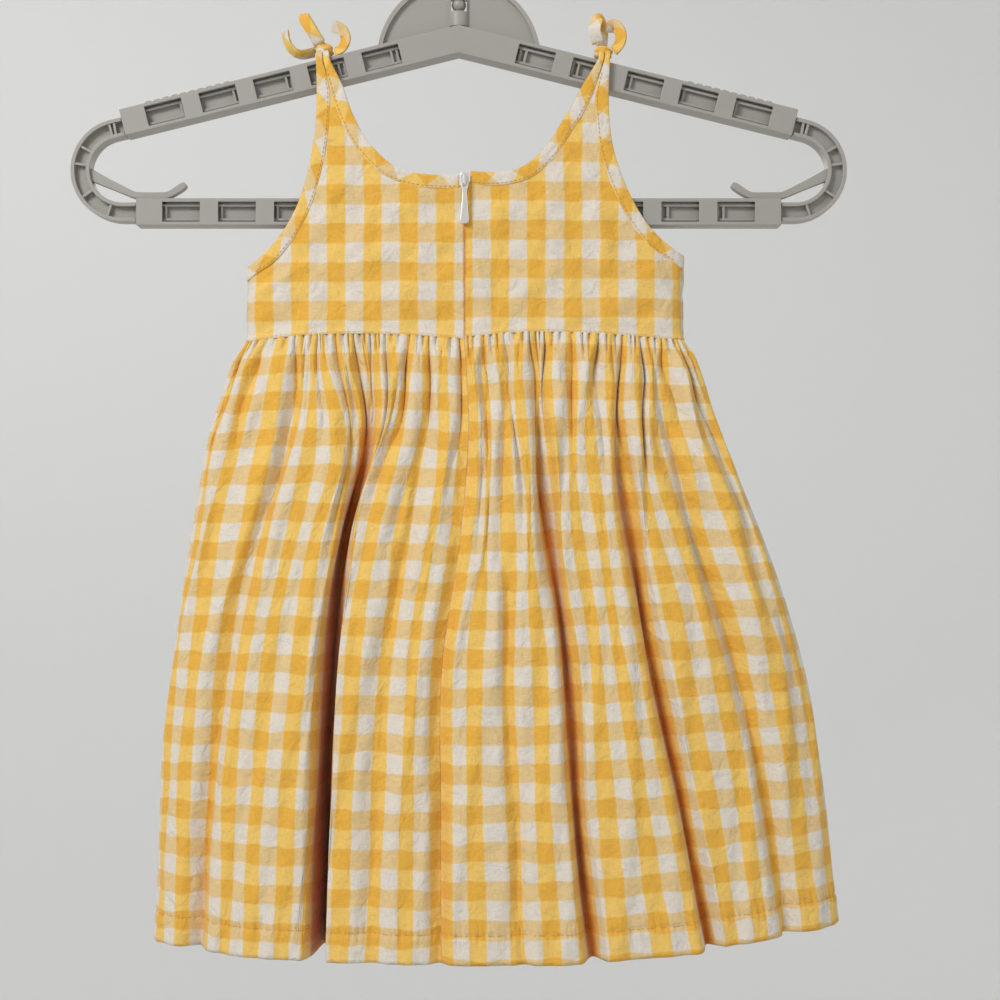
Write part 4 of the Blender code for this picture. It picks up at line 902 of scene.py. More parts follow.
def folded_strip(name, outer, inner, half, ruck, seed):
    """A folded strip between an outer and an inner rail, with a rounded section."""
    middle = (outer + inner) / 2
    length = float(np.sum(np.linalg.norm(np.diff(middle, axis=0), axis=1)))
    count = max(int(length / BINDING_PITCH), 8)
    outer = even_line(outer, count)
    inner = even_line(inner, count)
    along = np.gradient((outer + inner) / 2, axis=0)
    across = inner - outer
    width = np.linalg.norm(across, axis=1)
    across = across / width[:, None]
    face = np.cross(across, along)
    face /= np.linalg.norm(face, axis=1)[:, None]
    run = np.linspace(0.0, length, count)
    turns = np.linspace(0.0, 2 * np.pi, BINDING_RING, endpoint=False)
    rings = []
    places = []
    for turn in turns:
        side = np.cos(turn)
        share = 0.5 - 0.5 * np.copysign(abs(side) ** 0.55, side)
        rise = np.copysign(abs(np.sin(turn)) ** 0.6, np.sin(turn))
        puff = ruck * (np.sin(2 * np.pi * (run + 2.5 * share) / RUCK_PITCH
                              + 1.8 * np.sin(run / 7.0 + seed))
                       * (0.6 + 0.4 * np.sin(run / 11.0 + 2 * seed)))
        seam = -0.5 * half * math.exp(-((share - STITCH_SHARE) / 0.07) ** 2)
        height = half * rise + np.sign(rise) * (puff * (1 - share) * abs(rise) + seam)
        rings.append(outer + across * (width * share)[:, None] + face * height[:, None])
        over = share if rise >= 0 else 2 - share
        places.append(np.stack([(run + width * over) / math.sqrt(2) + 6.0 * seed,
                                (run - width * over) / math.sqrt(2) + 3.0 * seed], axis=-1))
    rings = np.array(rings).transpose(1, 0, 2)
    places = np.array(places).transpose(1, 0, 2)
    corners = np.arange(count * BINDING_RING).reshape(count, BINDING_RING)
    beside = np.roll(corners, -1, axis=1)
    quads = np.stack([corners[:-1], beside[:-1], beside[1:], corners[1:]], axis=-1).reshape(-1, 4)
    mesh = bpy.data.meshes.new(name)
    caps = [corners[0][::-1].tolist(), corners[-1].tolist()]
    mesh.from_pydata((rings.reshape(-1, 3) * MM).tolist(), [], quads.tolist() + caps)
    layer = mesh.uv_layers.new(name="cloth")
    order = np.concatenate((quads.ravel(), np.array(caps).ravel()))
    layer.data.foreach_set("uv", (places.reshape(-1, 2)[order] * MM).ravel())
    mesh.polygons.foreach_set("use_smooth", [True] * len(mesh.polygons))
    solid = bmesh.new()
    solid.from_mesh(mesh)
    bmesh.ops.recalc_face_normals(solid, faces=solid.faces)
    solid.to_mesh(mesh)
    solid.free()
    return new_piece(name, mesh, gingham)


def edge_rails(edge, side, facing):
    outer = resampled(edge, EDGE_POINTS)[:, :2]
    return on_bodice(outer, facing), on_bodice(inner_edge(edge, side), facing)


def stitch_line(outer, inner, facing):
    """A seam line over the outside of a binding, close to its inner edge."""
    line = outer + (inner - outer) * STITCH_SHARE
    line[:, 1] += facing * BINDING_STITCH_LIFT
    return line[STITCH_START:].tolist()


neck_left = edge_rails(NECK_LEFT, -1, -1)
neck_right = edge_rails(NECK_RIGHT, 1, -1)
front_left = edge_rails(lowered(NECK_LEFT), -1, 1)
front_right = edge_rails(lowered(NECK_RIGHT), 1, 1)
neck_front = [np.concatenate((one, other[-2::-1])) for one, other in zip(front_left, front_right)]
armhole_rails = {}
for label, edge, side, level in (("left", ARMHOLE_LEFT, 1, UNDERARM_LEFT_Z),
                                 ("right", ARMHOLE_RIGHT, -1, UNDERARM_RIGHT_Z)):
    back = edge_rails(edge, side, -1)
    front = edge_rails(edge, side, 1)
    rails = []
    for at, (back_rail, front_rail) in enumerate(zip(back, front)):
        turn = underarm_turn(side, level - at * BINDING_WIDTH)
        rails.append(np.concatenate((back_rail, on_bodice(turn[::-1], -1),
                                     on_bodice(turn[1:], 1), front_rail[::-1])))
    armhole_rails[label] = rails
bindings = []
for name, rails, seed in (("neck_binding_back_left", neck_left, 0.3),
                          ("neck_binding_back_right", neck_right, 1.1),
                          ("neck_binding_front", neck_front, 2.3),
                          ("armhole_binding_left", armhole_rails["left"], 3.1),
                          ("armhole_binding_right", armhole_rails["right"], 4.7)):
    strip = folded_strip(name + "_cloth", *rails, BINDING_HALF, RUCK_HEIGHT, seed)
    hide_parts(name)
    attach(strip, "dress")
    bindings.append(strip)
edge_stitches = topstitch("edge_stitches", [
    stitch_line(*neck_left, -1), stitch_line(*neck_right, -1),
    stitch_line(*neck_front, 1)[:-STITCH_START],
    *[stitch_line(*edge_rails(edge, side, facing), facing)
      for edge, side in ((ARMHOLE_LEFT, 1), (ARMHOLE_RIGHT, -1)) for facing in (-1, 1)],
], amber_thread, CLOSE_PITCH)

# The bodice's lower edge is pressed down over the gathers and stitched a hair
# above the seam, which leaves a thin cream line right round the waist.
WAIST_STITCH_HEIGHT = 1.5
WAIST_STITCH_LIFT = 0.95
BODICE_HALF_CUT = 0.122


def waist_line(face):
    x = np.linspace(SIDE_LEFT + 0.6, SIDE_RIGHT - 0.6, 240)
    y = (bodice_depth(x) + WAIST_STITCH_LIFT) * FACING[face]
    z = waist_top(face, x < CENTRE_BACK, x) + WAIST_STITCH_HEIGHT
    return np.stack([x, y, z], axis=-1).tolist()


back_waist = waist_line("back")
half = sum(point[0] < CENTRE_BACK for point in back_waist)
waist_stitches = topstitch("waist_stitches", [back_waist[:half], back_waist[half:],
                                              waist_line("front")], cream_thread, CLOSE_PITCH)
for sheet, node, width, pieces in (
        (bodice_left, "bodice_back_left", BODICE_HALF_CUT, (waist_stitches,)),
        (bodice_right, "bodice_back_right", BODICE_HALF_CUT, (edge_stitches,)),
        (bodice_front, "bodice_front", 2 * BODICE_HALF_CUT, tuple(bindings))):
    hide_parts(node)
    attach(sheet, "dress")

# The hanger is moulded in warm grey plastic. Its arms and its bar are hollow
# tubes with rows of windows, through which the sliding inner beam shows.
ARM_TOP_Z = -84.0
ARM_END_X = 189.0
ARM_END_TOP_Z = -131.0
TUBE_HEIGHT = 15.0
TUBE_WALL = 1.6
TUBE_HALF_DEPTH = 7.0
BAR_TOP_Z = -180.4
BAR_END_X = 179.5
WINDOW_LENGTH = 21.0
WINDOW_HEIGHT = 11.0
ARM_WINDOWS = [44.5 + 30.2 * at for at in range(5)]
BAR_PITCH = 31.1
BAR_WINDOWS = [154.4 - BAR_PITCH * at for at in range(5)]
HOLLOW_START = 24.0
OPEN_END = 3.0
CUT_REACH = 10.0
BEAM_HEIGHT = 9.4
BEAM_HALF_DEPTH = 4.2
FLANGE = 1.5
BEAM_WEB_HALF = 1.3
RIB_THICKNESS = 1.4
RIB_PITCH = 15.1
RIB_PAIR = (0.0, 3.2)
GRIP_PITCH = 5.0
GRIP_HEIGHT = 0.6
GRIP_SPAN = (131.0, 181.0)
EDGE_ROUND = 0.45

plastic, plastic_tree, plastic_shader = new_finish("grey_plastic", 0.42)
grain = add_node(plastic_tree, "ShaderNodeTexNoise", (("Scale", 900.0), ("Detail", 2.0)))
plastic_tree.links.new(add_node(plastic_tree, "ShaderNodeTexCoord").outputs["Object"],
                       grain.inputs["Vector"])
grain_bump = add_node(plastic_tree, "ShaderNodeBump",
                      (("Height", grain.outputs[0]), ("Strength", 0.35), ("Distance", 0.0001)))
plastic_tree.links.new(grain_bump.outputs[0], plastic_shader.inputs["Normal"])
plastic_shader.inputs["Base Color"].default_value = (0.37, 0.355, 0.325, 1.0)


def shell_piece(name, shell, finish):
    """Make a piece of a shell under construction, which is used up."""
    mesh = bpy.data.meshes.new(name)
    shell.to_mesh(mesh)
    shell.free()
    return new_piece(name, mesh, finish)


def plate(name, outline, front, back, finish=plastic):
    """A flat plate: an outline in x and z, from y = front to y = back."""
    made = bmesh.new()
    near = [made.verts.new((x * MM, front * MM, z * MM)) for x, z in outline]
    far = [made.verts.new((x * MM, back * MM, z * MM)) for x, z in outline]
    made.faces.new(near)
    made.faces.new(far[::-1])
    for at in range(len(outline)):
        beside = (at + 1) % len(outline)
        made.faces.new((near[at], far[at], far[beside], near[beside]))
    bmesh.ops.recalc_face_normals(made, faces=made.faces)
    return shell_piece(name, made, finish)


def mirrored(outline, side):
    """The outline as it is for side 1, and on the hanger's other half for side -1."""
    return [(side * x, z) for x, z in outline]


def box_outline(centre, along, length, height):
    across = np.array([-along[1], along[0]])
    corners = ((-0.5, -0.5), (0.5, -0.5), (0.5, 0.5), (-0.5, 0.5))
    return [tuple(centre + along * length * a + across * height * b) for a, b in corners]


def merged(name, pieces):
    """Gather several closed shells into one object."""
    whole = bmesh.new()
    for piece in pieces:
        whole.from_mesh(piece.data)
    finish = pieces[0].data.materials[0]
    for piece in pieces:
        bpy.data.objects.remove(piece)
    return shell_piece(name, whole, finish)


def cut_away(piece, tools, width=EDGE_ROUND):
    """Cut the tools out of a piece and round its edges."""
    for tool in tools:
        change = piece.modifiers.new(tool.name, "BOOLEAN")
        change.operation = "DIFFERENCE"
        change.solver = "EXACT"
        change.object = tool
    piece.modifiers.new("facets", "TRIANGULATE")
    rounded(piece, width)
    for tool in tools:
        bpy.data.objects.remove(tool)
    return piece


def rounded(piece, width=EDGE_ROUND):
    edge = piece.modifiers.new("edges", "BEVEL")
    edge.width = width * MM
    edge.segments = 2
    edge.limit_method = "ANGLE"
    edge.angle_limit = math.radians(35)
    edge.use_clamp_overlap = True
    return settled(piece)


def finished(piece, nodes, body="dress"):
    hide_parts(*nodes)
    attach(piece, body)
    return piece


arm_run = np.array([ARM_END_X, ARM_END_TOP_Z - ARM_TOP_Z])
arm_run /= np.linalg.norm(arm_run)
arm_drop = np.array([arm_run[1], -arm_run[0]])


def arm_point(distance, depth):
    """A point on the right arm, so far from its top corner and under its top face."""
    return np.array([0.0, ARM_TOP_Z]) + arm_run * distance + arm_drop * depth


arm_length = ARM_END_X / arm_run[0]


def gripped_edge():
    """The arm's top edge, with a row of low ridges on its outer part."""
    edge = [arm_point(0.0, 0.0)]
    place = GRIP_SPAN[0]
    while place < GRIP_SPAN[1]:
        for offset, rise in ((0.0, 0.0), (0.7, GRIP_HEIGHT), (3.4, GRIP_HEIGHT), (4.1, 0.0)):
            edge.append(arm_point(place + offset, -rise))
        place += GRIP_PITCH
    return [tuple(point) for point in (*edge, arm_point(arm_length, 0.0))]


right_half = gripped_edge() + [tuple(arm_point(arm_length, TUBE_HEIGHT))]
middle_low = (0.0, ARM_TOP_Z - TUBE_HEIGHT / arm_run[0])
arms_outline = right_half + [middle_low] + mirrored(right_half, -1)[:0:-1]
arms = plate("hanger_arm_tubes", arms_outline, -TUBE_HALF_DEPTH, TUBE_HALF_DEPTH)
hollow = [arm_point(distance, depth) for distance, depth in (
    (HOLLOW_START, TUBE_WALL), (arm_length + OPEN_END, TUBE_WALL),
    (arm_length + OPEN_END, TUBE_HEIGHT - TUBE_WALL), (HOLLOW_START, TUBE_HEIGHT - TUBE_WALL))]
arm_tools = []
for side in (1, -1):
    arm_tools.append(plate("arm_hollow", mirrored(hollow, side), TUBE_WALL - TUBE_HALF_DEPTH,
                           TUBE_HALF_DEPTH - TUBE_WALL))
    for place in ARM_WINDOWS:
        centre = arm_point(place / arm_run[0], TUBE_HEIGHT / 2)
        window = box_outline(centre, arm_run, WINDOW_LENGTH, WINDOW_HEIGHT)
        arm_tools.append(plate("arm_window", mirrored(window, side), -CUT_REACH, CUT_REACH))
finished(cut_away(arms, arm_tools), ["hanger_arms"])


def level_box(half_length, top, low):
    return [(-half_length, top), (half_length, top), (half_length, low), (-half_length, low)]


bar_low = BAR_TOP_Z - TUBE_HEIGHT
bar_middle = BAR_TOP_Z - TUBE_HEIGHT / 2
bar = plate("hanger_bar_tube", level_box(BAR_END_X, BAR_TOP_Z, bar_low),
            -TUBE_HALF_DEPTH, TUBE_HALF_DEPTH)
bar_tools = [plate("bar_hollow", level_box(BAR_END_X + OPEN_END, BAR_TOP_Z - TUBE_WALL,
                                           bar_low + TUBE_WALL),
                   TUBE_WALL - TUBE_HALF_DEPTH, TUBE_HALF_DEPTH - TUBE_WALL)]
for side in (1, -1):
    for place in BAR_WINDOWS:
        window = box_outline(np.array([side * place, bar_middle]), np.array([1.0, 0.0]),
                             WINDOW_LENGTH, WINDOW_HEIGHT)
        bar_tools.append(plate("bar_window", window, -CUT_REACH, CUT_REACH))
finished(cut_away(bar, bar_tools), ["hanger_bar"])


def inner_beam(name, start, end, ribs):
    """The ribbed beam that slides inside a tube: two flanges, a web and cross ribs."""
    start = np.array(start, float)
    end = np.array(end, float)
    length = float(np.linalg.norm(end - start))
    along = (end - start) / length
    across = np.array([-along[1], along[0]])
    middle = (start + end) / 2
    parts = [plate("web", box_outline(middle, along, length, BEAM_HEIGHT - 0.4),
                   -BEAM_WEB_HALF, BEAM_WEB_HALF)]
    for side in (-1, 1):
        centre = middle + across * side * (BEAM_HEIGHT - FLANGE) / 2
        parts.append(plate("flange", box_outline(centre, along, length, FLANGE),
                           -BEAM_HALF_DEPTH, BEAM_HALF_DEPTH))
    for place in ribs:
        centre = start + along * place
        parts.append(plate("rib", box_outline(centre, along, RIB_THICKNESS, BEAM_HEIGHT - FLANGE),
                           -BEAM_HALF_DEPTH + 0.3, BEAM_HALF_DEPTH - 0.3))
    return rounded(merged(name, parts), 0.25)


near, far = arm_point(27.0, TUBE_HEIGHT / 2), arm_point(arm_length - 1.0, TUBE_HEIGHT / 2)
reach = float(np.linalg.norm(far - near))
arm_ribs = [place + offset for place in np.arange(10.0, reach - 8.0, 2 * RIB_PITCH)
            for offset in RIB_PAIR]
bar_ribs = [place + offset for place in np.arange(12.0, 2 * BAR_END_X - 10.0, BAR_PITCH)
            for offset in RIB_PAIR]
for name, start, end, ribs in (
        ("arm_beam", near, far, arm_ribs),
        ("arm_beam", *mirrored((near, far), -1), arm_ribs),
        ("bar_beam", (-BAR_END_X + 1.0, bar_middle), (BAR_END_X - 1.0, bar_middle), bar_ribs)):
    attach(inner_beam(name, start, end, ribs), "dress")

# Each end is a half round channel, open to both faces, that slides into arm and
# bar. It carries a short strap hook with a rounded tip.
END_CENTRE = (-187.6, -164.4)
END_RADIUS = 23.4
END_WIDTH = 10.6
END_RIM = 2.2
END_HALF_DEPTH = 5.5
END_WEB_HALF = 1.6
END_RIB_ANGLES = (100.0, 106.0, 150.0, 172.0, 214.0, 252.0)
STRAP_HOOK_HALF_DEPTH = 3.0
STRAP_HOOK = (
    (-207.0, -165.8, 6.4), (-201.5, -168.6, 5.6), (-192.0, -173.0, 4.4), (-181.5, -177.7, 3.6),
    (-178.5, -178.1, 3.6), (-164.5, -178.1, 3.6), (-161.5, -177.4, 3.6), (-154.2, -172.8, 3.8),
    (-152.6, -171.6, 2.2),
)


def path_outline(line):
    """Outline of a flat path given by rows of x, z and width."""
    line = np.asarray(line, float)
    along = unit_steps(line[:, :2])
    across = np.stack([-along[:, 1], along[:, 0]], axis=-1) * line[:, 2:] / 2
    return [*(line[:, :2] + across), *(line[:, :2] - across)[::-1]]


def end_line(offset, width):
    """The end's middle line, moved outwards by an offset."""
    slope = np.array([-arm_run[0], arm_run[1]])
    start = math.atan2(-slope[0], slope[1])
    centre = np.array(END_CENTRE)
    out = np.array([math.cos(start), math.sin(start)])
    first = centre + out * (END_RADIUS + offset)
    corner = np.array([-ARM_END_X, ARM_END_TOP_Z])
    reach = float((centre + out * END_RADIUS - corner) @ slope) - 0.3
    line = [(*(first - slope * reach), width)]
    for angle in np.linspace(start, 1.5 * math.pi, 40):
        line.append((centre[0] + (END_RADIUS + offset) * math.cos(angle),
                     centre[1] + (END_RADIUS + offset) * math.sin(angle), width))
    line.append((-BAR_END_X - 0.3, centre[1] - END_RADIUS - offset, width))
    return line


for label, side in (("left", 1), ("right", -1)):
    channel = END_WIDTH - END_RIM
    shells = [plate("web", mirrored(path_outline(end_line(0.0, channel)), side),
                    -END_WEB_HALF, END_WEB_HALF)]
    for offset in (-channel / 2, channel / 2):
        shells.append(plate("rim", mirrored(path_outline(end_line(offset, END_RIM)), side),
                            -END_HALF_DEPTH, END_HALF_DEPTH))
    for degrees in END_RIB_ANGLES:
        out = np.array([math.cos(math.radians(degrees)), math.sin(math.radians(degrees))])
        centre = np.array(END_CENTRE) + out * END_RADIUS
        shells.append(plate("rib", mirrored(box_outline(centre, out, channel, 1.5), side),
                            -END_HALF_DEPTH + 0.6, END_HALF_DEPTH - 0.6))
    shells.append(plate("strap_hook", mirrored(path_outline(resampled(STRAP_HOOK, 40)), side),
                        -STRAP_HOOK_HALF_DEPTH, STRAP_HOOK_HALF_DEPTH))
    finished(rounded(merged("hanger_end_channel", shells), 0.35), ["hanger_end_" + label])

# The half round hub stands on the arms. It is a thin web with a raised rim, and
# a round boss with a window and a bore that the hook is pushed into.
HUB_CENTRE_Z = -102.5
HUB_RADIUS = 45.7
HUB_FOOT_ANGLE = 11.0
HUB_RIM = 2.4
HUB_RIM_HALF_DEPTH = 4.0
HUB_WEB_HALF = 1.5
BOSS_RADIUS = 5.7
BOSS_TOP_Z = -55.5
BOSS_WINDOW = (4.4, -75.7, -68.2)
NECK_RADIUS = 2.6
GAP = 0.3

turns = np.radians(np.linspace(HUB_FOOT_ANGLE, 180.0 - HUB_FOOT_ANGLE, 90))


def hub_arc(radius):
    return [(radius * math.cos(turn), HUB_CENTRE_Z + radius * math.sin(turn)) for turn in turns]


def turned_post(name, radius, low, high, sides=48):
    ring = [(radius * math.cos(turn), radius * math.sin(turn))
            for turn in np.linspace(0, 2 * np.pi, sides, endpoint=False)]
    post = plate(name, ring, low, high)
    for corner in post.data.vertices:
        x, y, z = corner.co
        corner.co = (x, z, y)
    post.data.flip_normals()
    return post


web = plate("hub_web", hub_arc(HUB_RADIUS - HUB_RIM / 2) + [(0.0, ARM_TOP_Z + GAP)],
            -HUB_WEB_HALF, HUB_WEB_HALF)
rim = plate("hub_rim", hub_arc(HUB_RADIUS) + hub_arc(HUB_RADIUS - HUB_RIM)[::-1],
            -HUB_RIM_HALF_DEPTH, HUB_RIM_HALF_DEPTH)
boss = turned_post("hub_boss", BOSS_RADIUS, ARM_TOP_Z + GAP, BOSS_TOP_Z)
half_width, window_low, window_high = BOSS_WINDOW
for added in (rim, boss):
    join = web.modifiers.new(added.name, "BOOLEAN")
    join.operation = "UNION"
    join.solver = "EXACT"
    join.object = added
tools = [plate("hub_window", [(-half_width, window_low), (half_width, window_low),
                              (half_width, window_high), (-half_width, window_high)],
               -CUT_REACH, CUT_REACH),
         turned_post("hub_bore", NECK_RADIUS + GAP, (window_low + window_high) / 2,
                     BOSS_TOP_Z + 10.0)]
finished(cut_away(web, tools, 0.4), ["hanger_hub"])
for added in (rim, boss):
    bpy.data.objects.remove(added)

# The hook is a round plastic rod bent over the rail. Its narrow neck ends in a
# ball, which sits in the window of the boss so that the hook can turn.
HOOK_RADIUS = 19.5
HOOK_WIRE = 3.2
HOOK_FOOT_Z = -52.0
BALL_RADIUS = 4.0
BALL_Z = -71.3
HOOK_SIDES = 24


def hook_stations():
    circle = HOOK_RADIUS + HOOK_WIRE
    tip = math.radians(205.0)
    rows = [(circle * math.cos(turn), circle * math.sin(turn) - HOOK_RADIUS, HOOK_WIRE)
            for turn in np.radians(np.linspace(205.0, -40.0, 61))]
    start = np.array(rows[0][:2])
    back = np.array([-math.sin(tip), math.cos(tip)])
    cap = [(*(start + back * HOOK_WIRE * math.sin(turn)), HOOK_WIRE * math.cos(turn) + 0.02)
           for turn in np.linspace(math.pi / 2, 0.2, 7)]
    x, z, _ = rows[-1]
    share = np.linspace(0.0, 1.0, 14)[1:-1]
    rest = 1 - share
    bend_x = x * rest ** 3 + 3 * (x - 5.2) * rest ** 2 * share
    bend_z = (z * rest ** 3 + 3 * (z - 6.2) * rest ** 2 * share
              + 3 * (HOOK_FOOT_Z + 8.0) * rest * share ** 2 + HOOK_FOOT_Z * share ** 3)
    rows += [(across, height, HOOK_WIRE) for across, height in zip(bend_x, bend_z)]
    rows += [(0.0, HOOK_FOOT_Z, HOOK_WIRE), (0.0, HOOK_FOOT_Z - 0.6, HOOK_WIRE - 0.2),
             (0.0, HOOK_FOOT_Z - 1.0, NECK_RADIUS)]
    first = math.asin(NECK_RADIUS / BALL_RADIUS)
    rows += [(0.0, BALL_Z + BALL_RADIUS * math.cos(turn), BALL_RADIUS * math.sin(turn))
             for turn in np.linspace(first, math.pi - 0.05, 14)]
    return cap + rows


def round_rod(name, rows):
    """A closed round rod through rows of x, z and radius."""
    rows = np.array(rows)
    rod = bmesh.new()
    rings = []
    for (x, z, radius), (run_x, run_z) in zip(rows, unit_steps(rows[:, :2])):
        ring = []
        for turn in np.linspace(0, 2 * np.pi, HOOK_SIDES, endpoint=False):
            out = radius * math.cos(turn)
            ring.append(rod.verts.new(((x - run_z * out) * MM, radius * math.sin(turn) * MM,
                                       (z + run_x * out) * MM)))
        rings.append(ring)
    for low, high in zip(rings, rings[1:]):
        for at in range(HOOK_SIDES):
            beside = (at + 1) % HOOK_SIDES
            rod.faces.new((low[at], low[beside], high[beside], high[at]))
    rod.faces.new(rings[0])
    rod.faces.new(rings[-1])
    bmesh.ops.recalc_face_normals(rod, faces=rod.faces)
    for face in rod.faces:
        face.smooth = True
    return shell_piece(name, rod, plastic)


finished(round_rod("hanger_hook_rod", hook_stations()), ["hanger_hook"])

# The bindings run on as ties that meet over each arm of the hanger in a small
# bow, of one knot with short stiff loops and ends of the folded strip.
TIE_HALF = 0.85
KNOT_SIZE = (5.2, 6.4, 4.4)
BOWS = {
    "left": ((-75.5, 0.0, -97.4), {
        "tail": (57.0, ((-80.6, -2.0, -98.0), (-88.6, -3.5, -99.6), (-93.8, -4.0, -96.3),
                        (-96.0, -4.0, -91.5), (-96.6, -4.0, -86.8))),
        "loop": (25.0, ((-77.4, -4.0, -93.5), (-81.5, -6.8, -87.4), (-85.4, -5.6, -81.2),
                        (-86.0, -1.5, -79.2), (-82.8, 2.6, -83.6), (-78.0, 3.2, -93.3))),
        "curl": (35.0, ((-69.2, -2.8, -98.0), (-65.4, -4.2, -96.6), (-62.9, -5.0, -91.6),
                        (-65.2, -5.0, -86.2), (-70.6, -4.0, -84.0))),
    }),
    "right": ((80.6, 0.0, -98.2), {
        "loop": (15.0, ((77.9, -4.2, -93.4), (75.6, -6.8, -87.6), (76.6, -5.8, -82.0),
                        (78.0, -1.8, -79.4), (80.4, 2.4, -84.6), (80.0, 3.4, -93.2))),
        "curl": (32.0, ((86.6, -2.4, -97.4), (89.6, -4.6, -94.0), (90.4, -5.4, -89.6),
                        (88.6, -4.4, -85.0), (85.4, -2.0, -83.2), (84.2, 0.6, -86.2))),
    }),
}
TIE_WIDTH = 7.0
TIE_RUCK = 0.2
TIE_POINTS = 44


def tie_rails(tilt, line):
    """Rails either side of a tie's middle line, turned by its tilt."""
    line = np.array(line)
    lengths = np.concatenate(([0.0], np.cumsum(np.linalg.norm(np.diff(line, axis=0), axis=1))))
    places = np.linspace(0.0, lengths[-1], TIE_POINTS)
    middle = np.stack([curve_at(lengths, line[:, at], places) for at in range(3)], axis=-1)
    along = unit_steps(middle)
    flat = np.cross(along, np.array([0.0, 1.0, 0.0]))
    flat /= np.linalg.norm(flat, axis=1)[:, None]
    for at in range(1, TIE_POINTS):
        if flat[at] @ flat[at - 1] < 0:
            flat[at] = -flat[at]
    deep = np.cross(flat, along)
    across = flat * math.cos(math.radians(tilt)) + deep * math.sin(math.radians(tilt))
    return middle - across * TIE_WIDTH / 2, middle + across * TIE_WIDTH / 2


def tied_knot(name, centre, seed):
    """A small tight knot with the folds of the strip running round it."""
    ball = bmesh.new()
    bmesh.ops.create_uvsphere(ball, u_segments=48, v_segments=32, radius=1.0)
    layer = ball.loops.layers.uv.new("cloth")
    for face in ball.faces:
        face.smooth = True
        for loop in face.loops:
            x, y, z = loop.vert.co
            loop[layer].uv = ((x * KNOT_SIZE[0] + z * 3.0 + seed) * MM,
                              (z * KNOT_SIZE[2] + y * KNOT_SIZE[1] + 2 * seed) * MM)
    for corner in ball.verts:
        x, y, z = corner.co
        fold = 0.06 * math.sin(9.0 * (z + 0.5 * x) + seed)
        lump = 0.08 * noise.noise(Vector((2 * x, 2 * y + seed, 2 * z)))
        size = (1.0 + fold + lump) * MM
        corner.co = (centre[0] * MM + x * KNOT_SIZE[0] * size,
                     centre[1] * MM + y * KNOT_SIZE[1] * size,
                     centre[2] * MM + z * KNOT_SIZE[2] * size)
    return shell_piece(name, ball, gingham)


for side, (centre, ties) in BOWS.items():
    finished(tied_knot(f"bow_{side}_knot_cloth", centre, 5.0 if side == "left" else 9.0),
             [f"bow_{side}_knot"])
    for label, (tilt, line) in ties.items():
        tie = folded_strip(f"bow_{side}_{label}_cloth", *tie_rails(tilt, line), TIE_HALF,
                           TIE_RUCK, tilt / 10)
        finished(tie, [f"bow_{side}_{label}"])

# The zip closes the back from the neck to below the waist. Its teeth stay under
# the cloth; only the silver slider and its long teardrop pull are seen.
ZIP_TOP_Z = -168.2
ZIP_FOOT_Z = -258.0
CHAIN_BACK = 11.6
CHAIN_THICKNESS = 1.0
CHAIN_HALF = 1.6
TOOTH_PITCH = 1.5
TOOTH_SIZE = (1.8, 0.8, 0.7)
TOOTH_SHIFT = 0.55
PULL_AXIS_Y = -16.6
PULL_AXIS_Z = -171.8
SLIDER_BODY = ((1.7, -176.0), (2.3, -174.0), (2.5, -172.0), (2.5, -168.8), (2.1, -168.0),
               (1.5, -167.6))
BRIDGE_HALF = 0.6
BRIDGE_PROFILE = (
    (1.4, -3.0), (-1.3, -3.0), (-1.7, -2.8), (-1.9, -2.2), (-1.9, 2.2), (-1.7, 2.8),
    (-1.3, 3.0), (1.4, 3.0), (1.4, 1.8), (-0.9, 1.8), (-0.9, -1.8), (1.4, -1.8),
)
PULL_HALF_DEPTH = 0.6
PULL_OUTLINE = (
    (0.5, 0.75), (1.0, 0.6), (1.5, 0.2), (1.6, -4.4), (1.35, -6.0), (1.25, -7.5), (1.3, -9.0),
    (1.6, -13.5), (2.0, -18.0), (2.3, -21.2), (2.35, -22.0), (2.1, -23.4), (1.2, -24.2),
)
PULL_EYE = ((0.95, -0.6), (0.95, -4.1))

silver = plain_finish("zip_metal", (0.90, 0.89, 0.87), 0.32, 0.9)
tape = plain_finish("zip_tape", (0.82, 0.60, 0.24), 0.85)


def both_sides(halves):
    """An outline about the zip's line, from rows of half width and height."""
    right = [(CENTRE_BACK + x, z) for x, z in halves]
    return right + [(CENTRE_BACK - x, z) for x, z in reversed(halves)]


chain = plate("zip_tape_strip", both_sides(((CHAIN_HALF, ZIP_TOP_Z), (CHAIN_HALF, ZIP_FOOT_Z))),
              -CHAIN_BACK, -CHAIN_BACK + CHAIN_THICKNESS, tape)
finished(rounded(chain, 0.15), ["zip_chain"])


